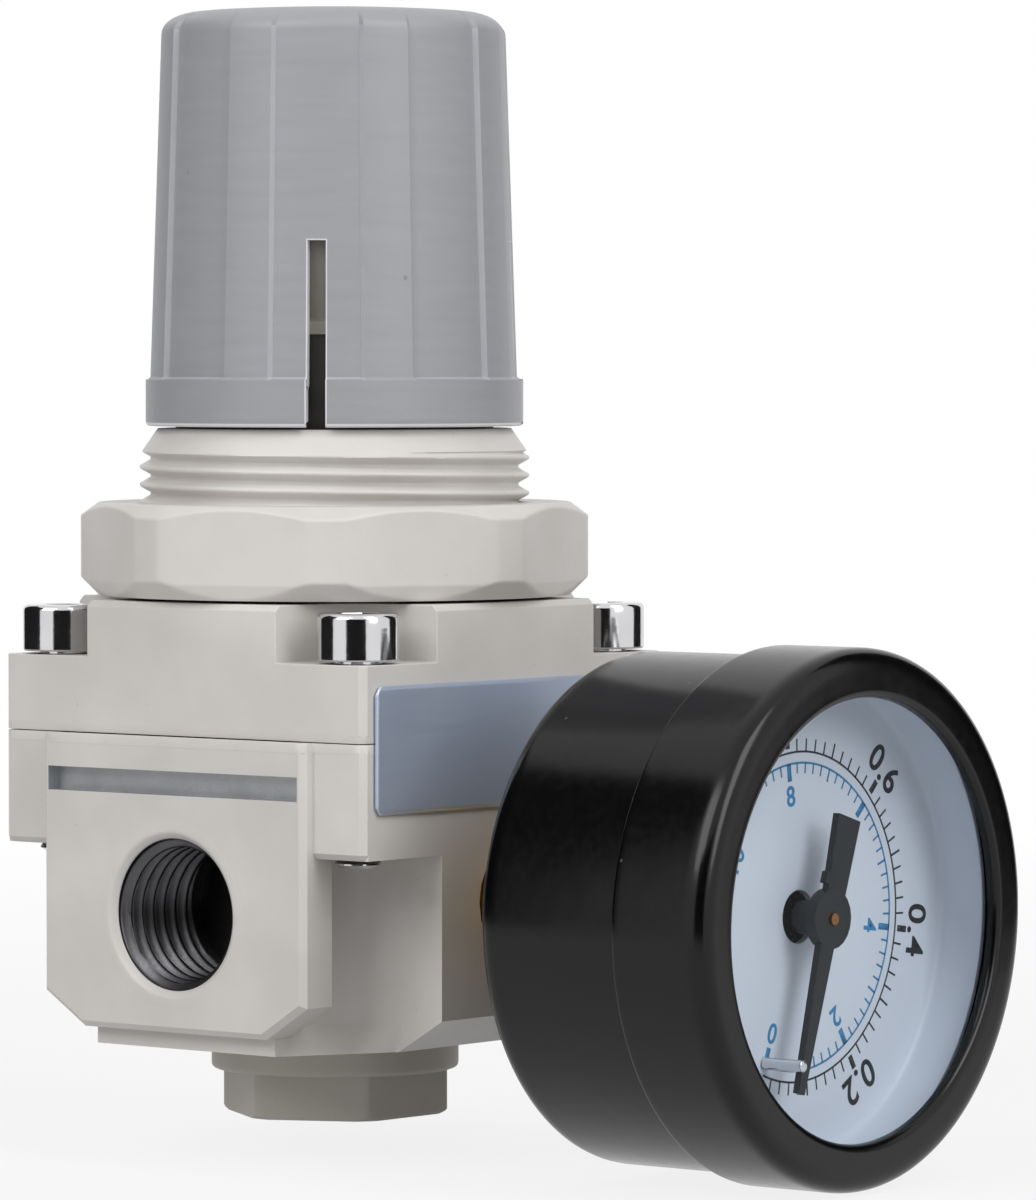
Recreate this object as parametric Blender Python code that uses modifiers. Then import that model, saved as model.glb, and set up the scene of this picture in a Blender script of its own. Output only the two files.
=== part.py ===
"""Pressure regulator of modular air-line type, with its dial gauge.

The origin is where the port axis crosses the vertical axis. The ports run along X, with the inlet
at -X, the gauge looks along -Y and the adjusting knob is at +Z. Lengths are in metres.
"""
import math

import bmesh
import bpy
from mathutils import Matrix, Vector

MM = 0.001

# Facets of a full turn
WIDE = 32
MEDIUM = 20
SMALL = 12
COIL = 10

# Clearances
SEAT = 0.25 * MM            # gap between two pieces that rest on each other
RUN = 0.3 * MM              # radial gap of a screw, stem or spring in its hole
SHAFT_RUN = 0.15 * MM       # radial gap of a small shaft in its bearing

# Body casting
BODY_WIDTH = 39.6 * MM
PORT_TO_TOP = 14.6 * MM
PORT_TO_BASE = 11.3 * MM
LUG_HEIGHT = 9.4 * MM
SCREW_INSET = 3.5 * MM
POCKET_R = 6.5 * MM
PLATE_PROUD = 1.2 * MM
PLATE_WIDTH = 28.8 * MM
PLATE_T = 3.6 * MM
PLATE_DROP = 9.8 * MM
PLATE_CORNER = Vector((4.4 * MM, 2.8 * MM))
BASE_BEVEL = Vector((4.6 * MM, 2.8 * MM))
GROOVE_END = 0.7 * MM
GROOVE_WIDTH = 2.0 * MM
GROOVE_DEPTH = 1.4 * MM
GROOVE_Z = 10.9 * MM
EDGE_ROUND = 0.5 * MM

# Ways through the body
PORT_R = 6.5 * MM
PORT_DEPTH = 11.0 * MM
PORT_MOUTH = 0.5 * MM
WAY_R = 3.0 * MM
WAY_OFFSET = 4.4 * MM
VALVE_BORE_R = 7.5 * MM
SEAT_WEB_T = 3.0 * MM
ORIFICE_R = 3.2 * MM
THROAT_R = 5.0 * MM
GAUGE_PORT_R = 4.9 * MM
GAUGE_PORT_DEPTH = 8.0 * MM
GAUGE_WAY_R = 1.5 * MM

# Diaphragm and its chamber
CHAMBER_R = 12.2 * MM
CHAMBER_DEPTH = 6.4 * MM
DIAPHRAGM_R = 14.2 * MM
DIAPHRAGM_T = 0.7 * MM
RIPPLE_R = 1.1 * MM
SPRING_PLATE_T = 1.2 * MM
RELIEF_DISC_R = 7.0 * MM
RELIEF_DISC_T = 1.0 * MM
RIVET_R = 2.0 * MM
RELIEF_HOLE_R = 0.8 * MM
STROKE = 1.2 * MM

# Bonnet
BASE_HEIGHT = 6.5 * MM
BLOCK_HEIGHT = 4.7 * MM
NOTCH_R = 5.9 * MM
THREAD_R = 15.58 * MM
THREAD_LENGTH = 12.7 * MM
THREAD_TAPER = 1.8 * MM
NECK_R = 13.5 * MM
NECK_HEIGHT = 18.6 * MM
TOP_WEB_T = 4.0 * MM
RING_R = 14.0 * MM
RING_HEIGHT = 1.0 * MM
SPRING_ROOM_R = 11.0 * MM
RIPPLE_ROOM = 1.9 * MM
KEYWAY_DEPTH = 1.2 * MM
KEYWAY_WIDTH = 3.0 * MM

# Panel nut
NUT_FLATS = 40.8 * MM
NUT_CORNER_CUT = 0.58 * MM
NUT_RIM_CUT = 1.5 * MM
NUT_HEIGHT = 7.8 * MM
NUT_TOP_CHAMFER = 1.1 * MM
NUT_BASE_CHAMFER = 1.5 * MM
NUT_TURN = math.radians(38.3)

# Bonnet screws
SCREW_R = 2.0 * MM
SCREW_HEAD_R = 3.4 * MM
SCREW_HEAD_H = 3.9 * MM
SCREW_SOCKET = 3.0 * MM
SCREW_TIP = 0.8 * MM
SCREW_CHAMFER = 0.35 * MM

# Adjusting screw, nut and spring
STEM_R = 4.0 * MM
STEM_LENGTH = 17.5 * MM
STEM_NECK_R = 3.9 * MM
STEM_COLLAR_R = 6.5 * MM
STEM_COLLAR_T = 1.5 * MM
STEM_HEX = 6.6 * MM
STEM_HEX_H = 11.5 * MM
STEM_PROUD = 0.6 * MM
STEM_CHAMFER = 0.5 * MM
ADJ_NUT_R = 10.2 * MM
ADJ_NUT_T = 2.4 * MM
ADJ_NUT_HUB_R = 6.3 * MM
ADJ_NUT_H = 6.0 * MM
ADJ_NUT_DROP = 1.2 * MM
ADJ_NUT_TRAVEL = 6.25 * MM
ADJ_SPRING_R = 7.6 * MM
ADJ_SPRING_WIRE = 1.0 * MM
ADJ_SPRING_TURNS = 6.5

# Knob
KNOB_GAP = 1.8 * MM
KNOB_HEIGHT = 35.3 * MM
KNOB_R = 16.0 * MM
KNOB_BAND_H = 3.9 * MM
KNOB_BODY_R = 15.75 * MM
KNOB_TOP_R = 14.75 * MM
KNOB_SHOULDER_H = 1.9 * MM
KNOB_CROWN_R = 11.5 * MM
KNOB_CROWN_H = 0.4 * MM
KNOB_WALL = 1.4 * MM
KNOB_ROOF_T = 2.2 * MM
KNOB_PANELS = 8
KNOB_PANEL_ARC = math.radians(30)
KNOB_PANEL_DEPTH = 0.4 * MM
KNOB_SLITS = 4
KNOB_SLIT_W = 1.6 * MM
KNOB_SLIT_H = 15.5 * MM
KNOB_TURN = math.radians(214.6)
KNOB_HUB_R = 6.4 * MM
KNOB_HUB_H = 13.5 * MM
KNOB_RIB_T = 1.2 * MM
KNOB_RIB_H = 7.0 * MM
KNOB_LIP = 0.5 * MM
KNOB_LIFT = 3.3 * MM

# Valve and its guide
POPPET_R = 5.0 * MM
POPPET_T = 1.8 * MM
POPPET_PAD_T = 0.5 * MM
PUSH_STEM_R = 1.2 * MM
GUIDE_STEM_R = 2.3 * MM
GUIDE_STEM_H = 6.6 * MM
GUIDE_BARREL_H = 5.4 * MM
GUIDE_FLANGE_R = 10.5 * MM
GUIDE_FLANGE_T = 2.6 * MM
GUIDE_HEX = 17.0 * MM
GUIDE_HEX_H = 3.8 * MM
GUIDE_HEX_TRIM = Vector((1.1 * MM, 0.9 * MM))
GUIDE_TURN = math.radians(27)
GUIDE_RING_SECTION = 0.55 * MM
GUIDE_RING_UP = 2.6 * MM
STEM_RING_SECTION = 0.35 * MM
STEM_RING_UP = 1.45 * MM
VALVE_SPRING_R = 3.7 * MM
VALVE_SPRING_WIRE = 0.3 * MM
VALVE_SPRING_TURNS = 4.5

# Plug at the back gauge port
PLUG_LENGTH = 7.4 * MM
PLUG_SUNK = 0.3 * MM
PLUG_SOCKET = 5.0 * MM
PLUG_SOCKET_DEPTH = 4.4 * MM
THREAD_CHAMFER = 0.4 * MM

# Label plate on the front
LABEL_MARGIN = 1.2 * MM
LABEL_HEIGHT = 10.5 * MM
LABEL_Z = 14.15 * MM
LABEL_T = 0.25 * MM

# Gauge: distances along its own axis are counted from the regulator's vertical axis
GAUGE_Z = 1.0 * MM
CASE_BACK = 32.5 * MM
CASE_R = 21.05 * MM
CASE_SHEET = 0.6 * MM
CASE_ROUND = 1.6 * MM
BEZEL_SHEET = 0.6 * MM
BEZEL_BACK = 46.8 * MM
BEZEL_FRONT = 56.0 * MM
BEZEL_ROUND = 1.3 * MM
BEZEL_LIP = 4.0 * MM
LENS_T = 1.3 * MM
LIP_T = 1.0 * MM
DIAL_FACE = 49.0 * MM
DIAL_T = 0.6 * MM
DIAL_WALL = 0.45 * MM
DIAL_HOLE_R = 2.15 * MM
WRENCH_SQUARE = 11.0 * MM
SQUARE_STAND = 2.2 * MM
SQUARE_TO_CASE = 0.8 * MM
SOCKET_SHOULDER_R = 5.4 * MM
GAUGE_THREAD = 7.4 * MM
BLOCK_SIZE = Vector((9.0 * MM, 4.6 * MM))

# Bourdon tube
TUBE_R = 14.6 * MM
TUBE_WIDTH = 4.4 * MM
TUBE_DEPTH = 1.6 * MM
TUBE_END = math.radians(194)

# Gauge movement
TOOTH_MODULE = 0.2 * MM
PINION_TEETH = 10
SECTOR_TEETH = 80
SECTOR_ARC_TEETH = 12
SECTOR_SWING = math.radians(32.5)
TOOTH_ADDENDUM = 0.17 * MM
TOOTH_DEDENDUM = 0.23 * MM
GEAR_T = 1.0 * MM
BACKLASH = 0.05 * MM
GEAR_DROP = 2.4 * MM          # from the front plate back to the gears
ARBOR_R = 0.5 * MM
ARBOR_PROUD = 0.3 * MM
SECTOR_PIN_R = 0.6 * MM
SECTOR_HUB_R = 1.5 * MM
SECTOR_RIM_W = 1.6 * MM
SECTOR_TAIL = 4.6 * MM
SECTOR_TAIL_W = 1.8 * MM
TAIL_LEAD = math.radians(84)
MOVEMENT_PLATE_T = 0.8 * MM
MOVEMENT_PLATE_W = 10.4 * MM
PLATE_TOP_AT = 1.6 * MM
PLATE_SPACE = 4.6 * MM
PILLAR_R = 0.9 * MM
PILLAR_AT = Vector((3.5 * MM, 3.4 * MM))
LOW_PILLAR_DROP = 1.6 * MM
LINK_T = 0.5 * MM
LINK_WIDTH = 2.3 * MM
LINK_PLAY = 0.95 * MM         # how far the open pivot slides in the link over the full swing
LINK_PIN_R = 0.45 * MM
HAIRSPRING_TURNS = 3
HAIRSPRING_IN_R = 1.5 * MM
HAIRSPRING_OUT_R = 3.9 * MM
HAIRSPRING_UP = 0.7 * MM
HAIRSPRING_WIRE = 0.1 * MM

# Pointer and its stop
POINTER_FACE = 52.35 * MM
POINTER_T = 0.6 * MM
POINTER_HUB_R = 2.45 * MM
POINTER_TIP = 14.4 * MM
POINTER_TAIL = 8.4 * MM
POINTER_WIDTHS = (0.8 * MM, 1.7 * MM, 2.2 * MM)     # at the tip, the hub and the tail's end
POINTER_COLLAR_R = 1.4 * MM
POINTER_ANGLE = math.radians(-106.5)
STOP_ANGLE = math.radians(-112.2)
STOP_RADIUS = 12.4 * MM
STOP_R = 0.5 * MM
STOP_LENGTH = 3.9 * MM
STOP_CHAMFER = 0.1 * MM

# Heights that follow from the sizes above
BODY_TOP = PORT_TO_TOP
BONNET_BASE = BODY_TOP + SEAT
SCREW_SEAT = BODY_TOP + BASE_HEIGHT
BLOCK_TOP = SCREW_SEAT + BLOCK_HEIGHT
THREAD_TOP = BLOCK_TOP + THREAD_LENGTH
KNOB_BASE = THREAD_TOP + KNOB_GAP
NECK_TOP = THREAD_TOP + NECK_HEIGHT
WEB_BASE = NECK_TOP - TOP_WEB_T
LUG_BASE = BODY_TOP - LUG_HEIGHT
CHAMBER_FLOOR = BODY_TOP - CHAMBER_DEPTH
DIAPHRAGM_Z = BODY_TOP - SEAT - DIAPHRAGM_T
RELIEF_BASE = DIAPHRAGM_Z - SEAT - RELIEF_DISC_T
SPRING_PLATE_Z = DIAPHRAGM_Z + DIAPHRAGM_T + SEAT
SPRING_BASE = SPRING_PLATE_Z + SPRING_PLATE_T + SEAT
COLLAR_BASE = WEB_BASE - SEAT - STEM_COLLAR_T
ADJ_NUT_TOP = COLLAR_BASE - ADJ_NUT_DROP
SPRING_TOP = ADJ_NUT_TOP - ADJ_NUT_T - SEAT
WEB_LOW = -SEAT_WEB_T / 2
POPPET_TOP = WEB_LOW - SEAT - POPPET_PAD_T
BODY_BASE = -PORT_TO_BASE
GUIDE_FLANGE_TOP = BODY_BASE - SEAT
GUIDE_BARREL_R = VALVE_BORE_R - RUN
GUIDE_BARREL_TOP = BODY_BASE + GUIDE_BARREL_H
GUIDE_SHELF = GUIDE_BARREL_TOP - GUIDE_BARREL_H / 2
BODY_HALF = BODY_WIDTH / 2
FLANGE_FACE = BODY_HALF + PLATE_PROUD
GROOVE_HALF = PLATE_WIDTH / 2 - GROOVE_END
SCREW_AT = BODY_HALF - SCREW_INSET
NUT_CORNER_R = NUT_FLATS / 2 / math.cos(math.pi / 8) - NUT_CORNER_CUT
NUT_RIM_R = NUT_CORNER_R - NUT_RIM_CUT
STROKE_ROOM = STROKE + SEAT
RIPPLE_OUT_R = RIPPLE_R + DIAPHRAGM_T / 2
RIPPLE_AT_R = CHAMBER_R - RIPPLE_OUT_R - RUN
SPRING_PLATE_R = RIPPLE_AT_R - RIPPLE_OUT_R - RUN

BEZEL_R = CASE_R + SEAT + BEZEL_SHEET
CASE_IN_R = CASE_R - CASE_SHEET
GLASS_R = BEZEL_R - BEZEL_LIP
LENS_FRONT = BEZEL_FRONT - LIP_T - SEAT
LENS_BACK = LENS_FRONT - LENS_T
CASE_FRONT = LENS_BACK - SEAT
DIAL_R = CASE_IN_R - SEAT
BLOCK_FRONT = CASE_BACK + CASE_SHEET + SEAT + BLOCK_SIZE.y
PLATE_BACK = BLOCK_FRONT + SEAT
PLATE_FRONT = PLATE_BACK + MOVEMENT_PLATE_T + PLATE_SPACE
GEAR_Z = PLATE_FRONT - GEAR_DROP
SECTOR_PITCH_R = TOOTH_MODULE * SECTOR_TEETH / 2
PINION_PITCH_R = TOOTH_MODULE * PINION_TEETH / 2
SECTOR_PIVOT = Vector((0, -(SECTOR_PITCH_R + PINION_PITCH_R + BACKLASH)))
SECTOR_REST = math.pi / 2 + SECTOR_SWING / 2
TAIL_ANGLE = SECTOR_REST + TAIL_LEAD
TUBE_START = -math.acos((BLOCK_SIZE.x / 2 + SEAT) / (TUBE_R - TUBE_DEPTH / 2))
TUBE_Z = CASE_BACK + CASE_SHEET + SEAT + TUBE_WIDTH / 2

model = None
cutters = None
gauge_frame = None
finishes = {}


def start_scene():
    """Empty the scene and add one collection for the pieces and one for what cuts them."""
    global model, cutters, gauge_frame
    for obj in list(bpy.data.objects):
        bpy.data.objects.remove(obj, do_unlink=True)
    model = bpy.data.collections.new("air_regulator")
    cutters = bpy.data.collections.new("cutters")
    for group in (model, cutters):
        bpy.context.scene.collection.children.link(group)
    gauge_frame = bpy.data.objects.new("gauge_axis", None)
    gauge_frame.location = (0, 0, GAUGE_Z)
    gauge_frame.rotation_euler = (math.pi / 2, 0, 0)
    model.objects.link(gauge_frame)


def finish(name, colour, roughness, metallic=0.0):
    """A Principled material with the colour, roughness and metallic value of one finish."""
    mat = bpy.data.materials.new(name)
    mat.use_nodes = True
    shader = mat.node_tree.nodes["Principled BSDF"]
    shader.inputs["Base Color"].default_value = (*colour, 1)
    shader.inputs["Roughness"].default_value = roughness
    shader.inputs["Metallic"].default_value = metallic
    finishes[name] = mat


def make_finishes():
    finish("cream_coated_casting", (0.62, 0.60, 0.56), 0.45)
    finish("grey_moulded_plastic", (0.33, 0.33, 0.36), 0.5)
    finish("stone_moulded_plastic", (0.36, 0.34, 0.30), 0.55)
    finish("bright_plated_steel", (0.78, 0.78, 0.80), 0.15, 1.0)
    finish("zinc_plated_steel", (0.60, 0.60, 0.58), 0.35, 1.0)
    finish("spring_steel", (0.45, 0.45, 0.47), 0.35, 1.0)
    finish("turned_brass", (0.72, 0.52, 0.23), 0.3, 1.0)
    finish("phosphor_bronze", (0.62, 0.36, 0.20), 0.35, 1.0)
    finish("nitrile_rubber", (0.02, 0.02, 0.02), 0.7)
    finish("black_gloss_enamel", (0.012, 0.012, 0.014), 0.12)
    finish("white_enamel", (0.80, 0.82, 0.86), 0.4)
    finish("matt_black_enamel", (0.015, 0.015, 0.015), 0.5)
    finish("clear_acrylic", (0.9, 0.93, 0.95), 0.03)
    finish("foil_plate", (0.55, 0.60, 0.68), 0.35, 0.8)


def place(obj, mat=None, parent=None):
    """Put an object in the model's collection, with its material and its parent."""
    model.objects.link(obj)
    if mat:
        obj.data.materials.append(finishes[mat])
    if parent:
        obj.parent = parent
    return obj


def from_bmesh(name, bm, mat=None, parent=None, smooth_angle=None):
    mesh = bpy.data.meshes.new(name)
    bm.to_mesh(mesh)
    bm.free()
    if smooth_angle is not None:
        mesh.shade_smooth()
        mesh.set_sharp_from_angle(angle=smooth_angle)
    return place(bpy.data.objects.new(name, mesh), mat, parent)


def box(name, low, high, mat=None, parent=None):
    """A block between two opposite corners."""
    low, high = Vector(low), Vector(high)
    bm = bmesh.new()
    size = Matrix.Diagonal((*(high - low), 1))
    bmesh.ops.create_cube(bm, size=1, matrix=Matrix.Translation((low + high) / 2) @ size)
    return from_bmesh(name, bm, mat, parent)


def prism(name, outline, low, high, mat=None, parent=None):
    """A flat outline of (x, y) points carried straight from height low to height high."""
    bm = bmesh.new()
    face = bm.faces.new([bm.verts.new((x, y, low)) for x, y in outline])
    grown = bmesh.ops.extrude_face_region(bm, geom=[face])
    tops = [v for v in grown["geom"] if isinstance(v, bmesh.types.BMVert)]
    bmesh.ops.translate(bm, vec=(0, 0, high - low), verts=tops)
    bmesh.ops.recalc_face_normals(bm, faces=bm.faces)
    return from_bmesh(name, bm, mat, parent)


def turned(name, profile, mat=None, parent=None, steps=WIDE, ring=False):
    """A profile of (radius, height) points turned about Z, its outer side from top to bottom.

    A ring's profile closes on itself; any other profile starts and ends on the axis.
    """
    mesh = bpy.data.meshes.new(name)
    count = len(profile)
    edges = [(i, (i + 1) % count) for i in range(count if ring else count - 1)]
    mesh.from_pydata([(r, 0, z) for r, z in profile], edges, [])
    obj = place(bpy.data.objects.new(name, mesh), mat, parent)
    screw = obj.modifiers.new("turn", "SCREW")
    screw.steps = screw.render_steps = steps
    screw.use_merge_vertices = True
    screw.merge_threshold = 0.00001
    return obj


def rod(name, radius, low, high, centre=(0, 0), mat=None, parent=None, steps=MEDIUM, corner=0.0):
    """A round bar along Z, with a small chamfer at both ends where corner is given."""
    profile = [(0, high), (radius - corner, high), (radius, high - corner),
               (radius, low + corner), (radius - corner, low), (0, low)]
    if not corner:
        profile = [(0, high), (radius, high), (radius, low), (0, low)]
    obj = turned(name, profile, mat, parent, steps)
    obj.location = (*centre, 0)
    return obj


def polygon(flats, turn=0.0, corners=6):
    """The corners of a regular outline, given its size across flats."""
    reach = flats / 2 / math.cos(math.pi / corners)
    angles = [turn + math.tau * (i + 0.5) / corners for i in range(corners)]
    return [(reach * math.cos(a), reach * math.sin(a)) for a in angles]


def arc(centre, radius, start, end, count):
    """Points on an arc from angle start to angle end, both ends included."""
    angles = [start + (end - start) * i / (count - 1) for i in range(count)]
    return [(centre[0] + radius * math.cos(a), centre[1] + radius * math.sin(a)) for a in angles]


def boolean(obj, tool, operation):
    mod = obj.modifiers.new(operation.lower(), "BOOLEAN")
    mod.operation = operation
    mod.solver = "EXACT"
    mod.object = tool
    model.objects.unlink(tool)
    cutters.objects.link(tool)
    tool.hide_render = True
    tool.display_type = "WIRE"
    if obj.parent and not tool.parent:
        tool.parent = obj.parent
    return obj


def cut(obj, *tools):
    for tool in tools:
        boolean(obj, tool, "DIFFERENCE")
    return obj


def weld_on(obj, *tools):
    for tool in tools:
        boolean(obj, tool, "UNION")
    return obj


def round_edges(obj, width, segments=1):
    """Break every edge sharper than 40 degrees."""
    mod = obj.modifiers.new("round", "BEVEL")
    mod.width = width
    mod.segments = segments
    mod.limit_method = "ANGLE"
    mod.angle_limit = math.radians(40)
    return obj


def break_rim(obj, height, width):
    """Break the edges round the flat face that lies at one height of a prism."""
    bm = bmesh.new()
    bm.from_mesh(obj.data)
    rim = [e for e in bm.edges if all(abs(v.co.z - height) < 0.01 * MM for v in e.verts)]
    bmesh.ops.bevel(bm, geom=rim, offset=width, segments=1, affect="EDGES")
    bm.to_mesh(obj.data)
    bm.free()
    return obj


def lay_x(obj, side=1):
    """Lay an object that was made along Z out along X, towards +X or -X."""
    obj.rotation_euler = (0, side * math.pi / 2, 0)
    return obj


def lay_y(obj, side=1):
    """Lay an object that was made along Z out along Y, towards +Y or -Y."""
    obj.rotation_euler = (-side * math.pi / 2, 0, 0)
    return obj


def coil(name, radius, wire, low, high, turns, mat):
    """A compression spring whose last half turns lie flat, as a round wire with closed ends."""
    points = []
    count = int(turns * COIL) + 1
    for i in range(count):
        share = i / (count - 1)
        flat = 0.5 / turns
        rise = min(max((share - flat) / (1 - 2 * flat), 0), 1)
        angle = math.tau * turns * share
        z = low + wire + (high - low - 2 * wire) * rise
        points.append((radius * math.cos(angle), radius * math.sin(angle), z))
    return wire_object(name, points, wire, mat, resolution=1)


def wire_object(name, points, radius, mat, parent=None, resolution=2):
    """A round wire along a list of points."""
    data = bpy.data.curves.new(name, "CURVE")
    data.dimensions = "3D"
    data.bevel_depth = radius
    data.bevel_resolution = resolution
    data.use_fill_caps = True
    spline = data.splines.new("POLY")
    spline.points.add(len(points) - 1)
    for point, co in zip(spline.points, points):
        point.co = (*co, 1)
    return place(bpy.data.objects.new(name, data), mat, parent)


def corner_signs():
    return [(-1, -1), (1, -1), (1, 1), (-1, 1)]


def corner_cutter(name, sx, sy, radius, low, high):
    """The open corner round one screw: an arc about the screw, and all that lies outside it."""
    reach = BODY_WIDTH
    outline = arc((sx * SCREW_AT, sy * SCREW_AT), radius, math.pi, 1.5 * math.pi, 7)
    outline = [(sx * SCREW_AT + sx * (x - sx * SCREW_AT), sy * SCREW_AT + sy * (y - sy * SCREW_AT))
               for x, y in outline]
    outline += [(sx * reach, sy * (SCREW_AT - radius)), (sx * reach, sy * reach),
                (sx * (SCREW_AT - radius), sy * reach)]
    return prism(name, outline, low, high)


def port_plate(sx):
    """One port flange: a plate with two cut lower corners, standing across the port axis."""
    half, drop, corner = PLATE_WIDTH / 2, PLATE_DROP, PLATE_CORNER
    outline = [(-BODY_TOP, half), (-BODY_TOP, -half), (drop - corner.y, -half),
               (drop, -half + corner.x), (drop, half - corner.x), (drop - corner.y, half)]
    inner = FLANGE_FACE - PLATE_T
    plate = prism("port_plate", outline, inner, FLANGE_FACE)
    break_rim(plate, FLANGE_FACE, EDGE_ROUND)
    if sx > 0:
        return lay_x(plate)
    plate.rotation_euler = (0, math.pi / 2, math.pi)
    return plate


def make_body():
    """The body casting: square head, port flanges, gauge bosses, corner lugs and the valve ways."""
    half = BODY_HALF
    body = box("body", (-half, -half, LUG_BASE), (half, half, BODY_TOP), "cream_coated_casting")
    round_edges(body, EDGE_ROUND)
    reach = FLANGE_FACE - PLATE_T / 2
    core = box("core", (-reach, -half, BODY_BASE), (reach, half, BODY_TOP - LUG_HEIGHT / 2))
    cut(core, *[corner_cutter("pocket", sx, sy, POCKET_R, 2 * BODY_BASE, LUG_BASE)
                for sx, sy in corner_signs()])
    for side in (-1, 1):
        edge = [(side * (half - BASE_BEVEL.x), BODY_BASE), (side * half, BODY_BASE + BASE_BEVEL.y),
                (side * 2 * half, BODY_BASE + BASE_BEVEL.y), (side * 2 * half, 2 * BODY_BASE),
                (side * (half - BASE_BEVEL.x), 2 * BODY_BASE)]
        wedge = prism("base_bevel", edge, -BODY_WIDTH, BODY_WIDTH)
        wedge.rotation_euler = (math.pi / 2, 0, math.pi / 2)
        cut(core, wedge)
    weld_on(body, core, port_plate(-1), port_plate(1))
    cut(body, valve_room())
    for side in (-1, 1):
        face = side * FLANGE_FACE
        inner = face - side * GROOVE_DEPTH
        low = (min(inner, 2 * face), -GROOVE_HALF, GROOVE_Z - GROOVE_WIDTH / 2)
        high = (max(inner, 2 * face), GROOVE_HALF, GROOVE_Z + GROOVE_WIDTH / 2)
        cut(body, box("flange_groove", low, high))
        cut(body, port_bore(side), port_way(side), gauge_bore(side), gauge_way(side))
    cut(body, *screw_holes(LUG_BASE - SEAT, 2 * BODY_TOP))
    return body


def screw_holes(low, high):
    """The four clearance holes of the bonnet screws."""
    return [rod("screw_hole", SCREW_R + RUN, low, high, (sx * SCREW_AT, sy * SCREW_AT), steps=SMALL)
            for sx, sy in corner_signs()]


def port_bore(side):
    """A port's bore with its widened mouth."""
    face = FLANGE_FACE
    profile = [(0, 2 * face), (PORT_R + PORT_MOUTH, 2 * face), (PORT_R + PORT_MOUTH, face),
               (PORT_R, face - PORT_MOUTH), (PORT_R, face - PORT_DEPTH), (0, face - PORT_DEPTH)]
    return lay_x(turned("port_bore", profile, steps=MEDIUM), side)


def port_way(side):
    """The drilled way from a port: low on the inlet side, high on the outlet side."""
    way = rod("port_way", WAY_R, THROAT_R / 2, FLANGE_FACE - PORT_DEPTH / 2, steps=SMALL)
    way.location = (0, 0, side * WAY_OFFSET)
    return lay_x(way, side)


def gauge_bore(side):
    """A gauge port's bore in the front or back boss."""
    bore = rod("gauge_bore", GAUGE_PORT_R, BODY_HALF - GAUGE_PORT_DEPTH, BODY_WIDTH, steps=MEDIUM)
    bore.location = (0, 0, GAUGE_Z)
    return lay_y(bore, side)


def gauge_way(side):
    """The small way that brings outlet pressure to a gauge port."""
    way = rod("gauge_way", GAUGE_WAY_R, THROAT_R / 2, BODY_HALF - GAUGE_PORT_DEPTH / 2, steps=SMALL)
    way.location = (0, 0, WAY_OFFSET - GAUGE_WAY_R / 2)
    return lay_y(way, side)


def valve_room():
    """The stepped room on the vertical axis: diaphragm seat, chamber, throat, orifice, valve bore."""
    seat_r = DIAPHRAGM_R + RUN
    seat_z = DIAPHRAGM_Z - SEAT
    return turned("valve_room", [
        (0, 2 * BODY_TOP), (seat_r, 2 * BODY_TOP), (seat_r, seat_z), (CHAMBER_R, seat_z),
        (CHAMBER_R, CHAMBER_FLOOR), (THROAT_R, CHAMBER_FLOOR), (THROAT_R, -WEB_LOW),
        (ORIFICE_R, -WEB_LOW), (ORIFICE_R, WEB_LOW), (VALVE_BORE_R, WEB_LOW),
        (VALVE_BORE_R, 2 * BODY_BASE), (0, 2 * BODY_BASE)], steps=MEDIUM)


def make_bonnet():
    """The bonnet: square base, notched block, panel thread, neck and the spring room inside."""
    half = BODY_HALF
    bonnet = box("bonnet", (-half, -half, BONNET_BASE), (half, half, BLOCK_TOP),
                 "cream_coated_casting")
    round_edges(bonnet, EDGE_ROUND)
    cut(bonnet, *[corner_cutter("screw_notch", sx, sy, NOTCH_R, SCREW_SEAT, 2 * BLOCK_TOP)
                  for sx, sy in corner_signs()])
    ring_low = KNOB_BASE + KNOB_BAND_H + KNOB_LIFT + 2 * SEAT
    ring_high = ring_low + RING_HEIGHT
    root = BLOCK_TOP - BLOCK_HEIGHT / 2
    weld_on(bonnet, turned("tower", [
        (0, NECK_TOP), (NECK_R - EDGE_ROUND, NECK_TOP), (NECK_R, NECK_TOP - EDGE_ROUND),
        (NECK_R, ring_high + RING_R - NECK_R), (RING_R, ring_high), (RING_R, ring_low),
        (NECK_R, ring_low), (NECK_R, THREAD_TOP), (THREAD_R - THREAD_TAPER / 2, THREAD_TOP),
        (THREAD_R, THREAD_TOP - THREAD_TAPER), (THREAD_R, root), (0, root)]))
    flare = BONNET_BASE + RIPPLE_ROOM
    cut(bonnet, turned("spring_room", [
        (0, WEB_BASE), (SPRING_ROOM_R, WEB_BASE),
        (SPRING_ROOM_R, flare + CHAMBER_R - SPRING_ROOM_R), (CHAMBER_R, flare),
        (CHAMBER_R, 0), (0, 0)], steps=MEDIUM))
    cut(bonnet, rod("stem_hole", STEM_NECK_R + RUN, WEB_BASE - TOP_WEB_T, NECK_TOP + TOP_WEB_T,
                    steps=MEDIUM))
    reach = SPRING_ROOM_R + KEYWAY_DEPTH
    low = ADJ_NUT_TOP - ADJ_NUT_T - ADJ_NUT_TRAVEL - RUN
    cut(bonnet, box("keyways", (-reach, -KEYWAY_WIDTH / 2, low),
                    (reach, KEYWAY_WIDTH / 2, WEB_BASE - SEAT)))
    cut(bonnet, *screw_holes(0, 2 * BLOCK_TOP))
    return bonnet


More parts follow.
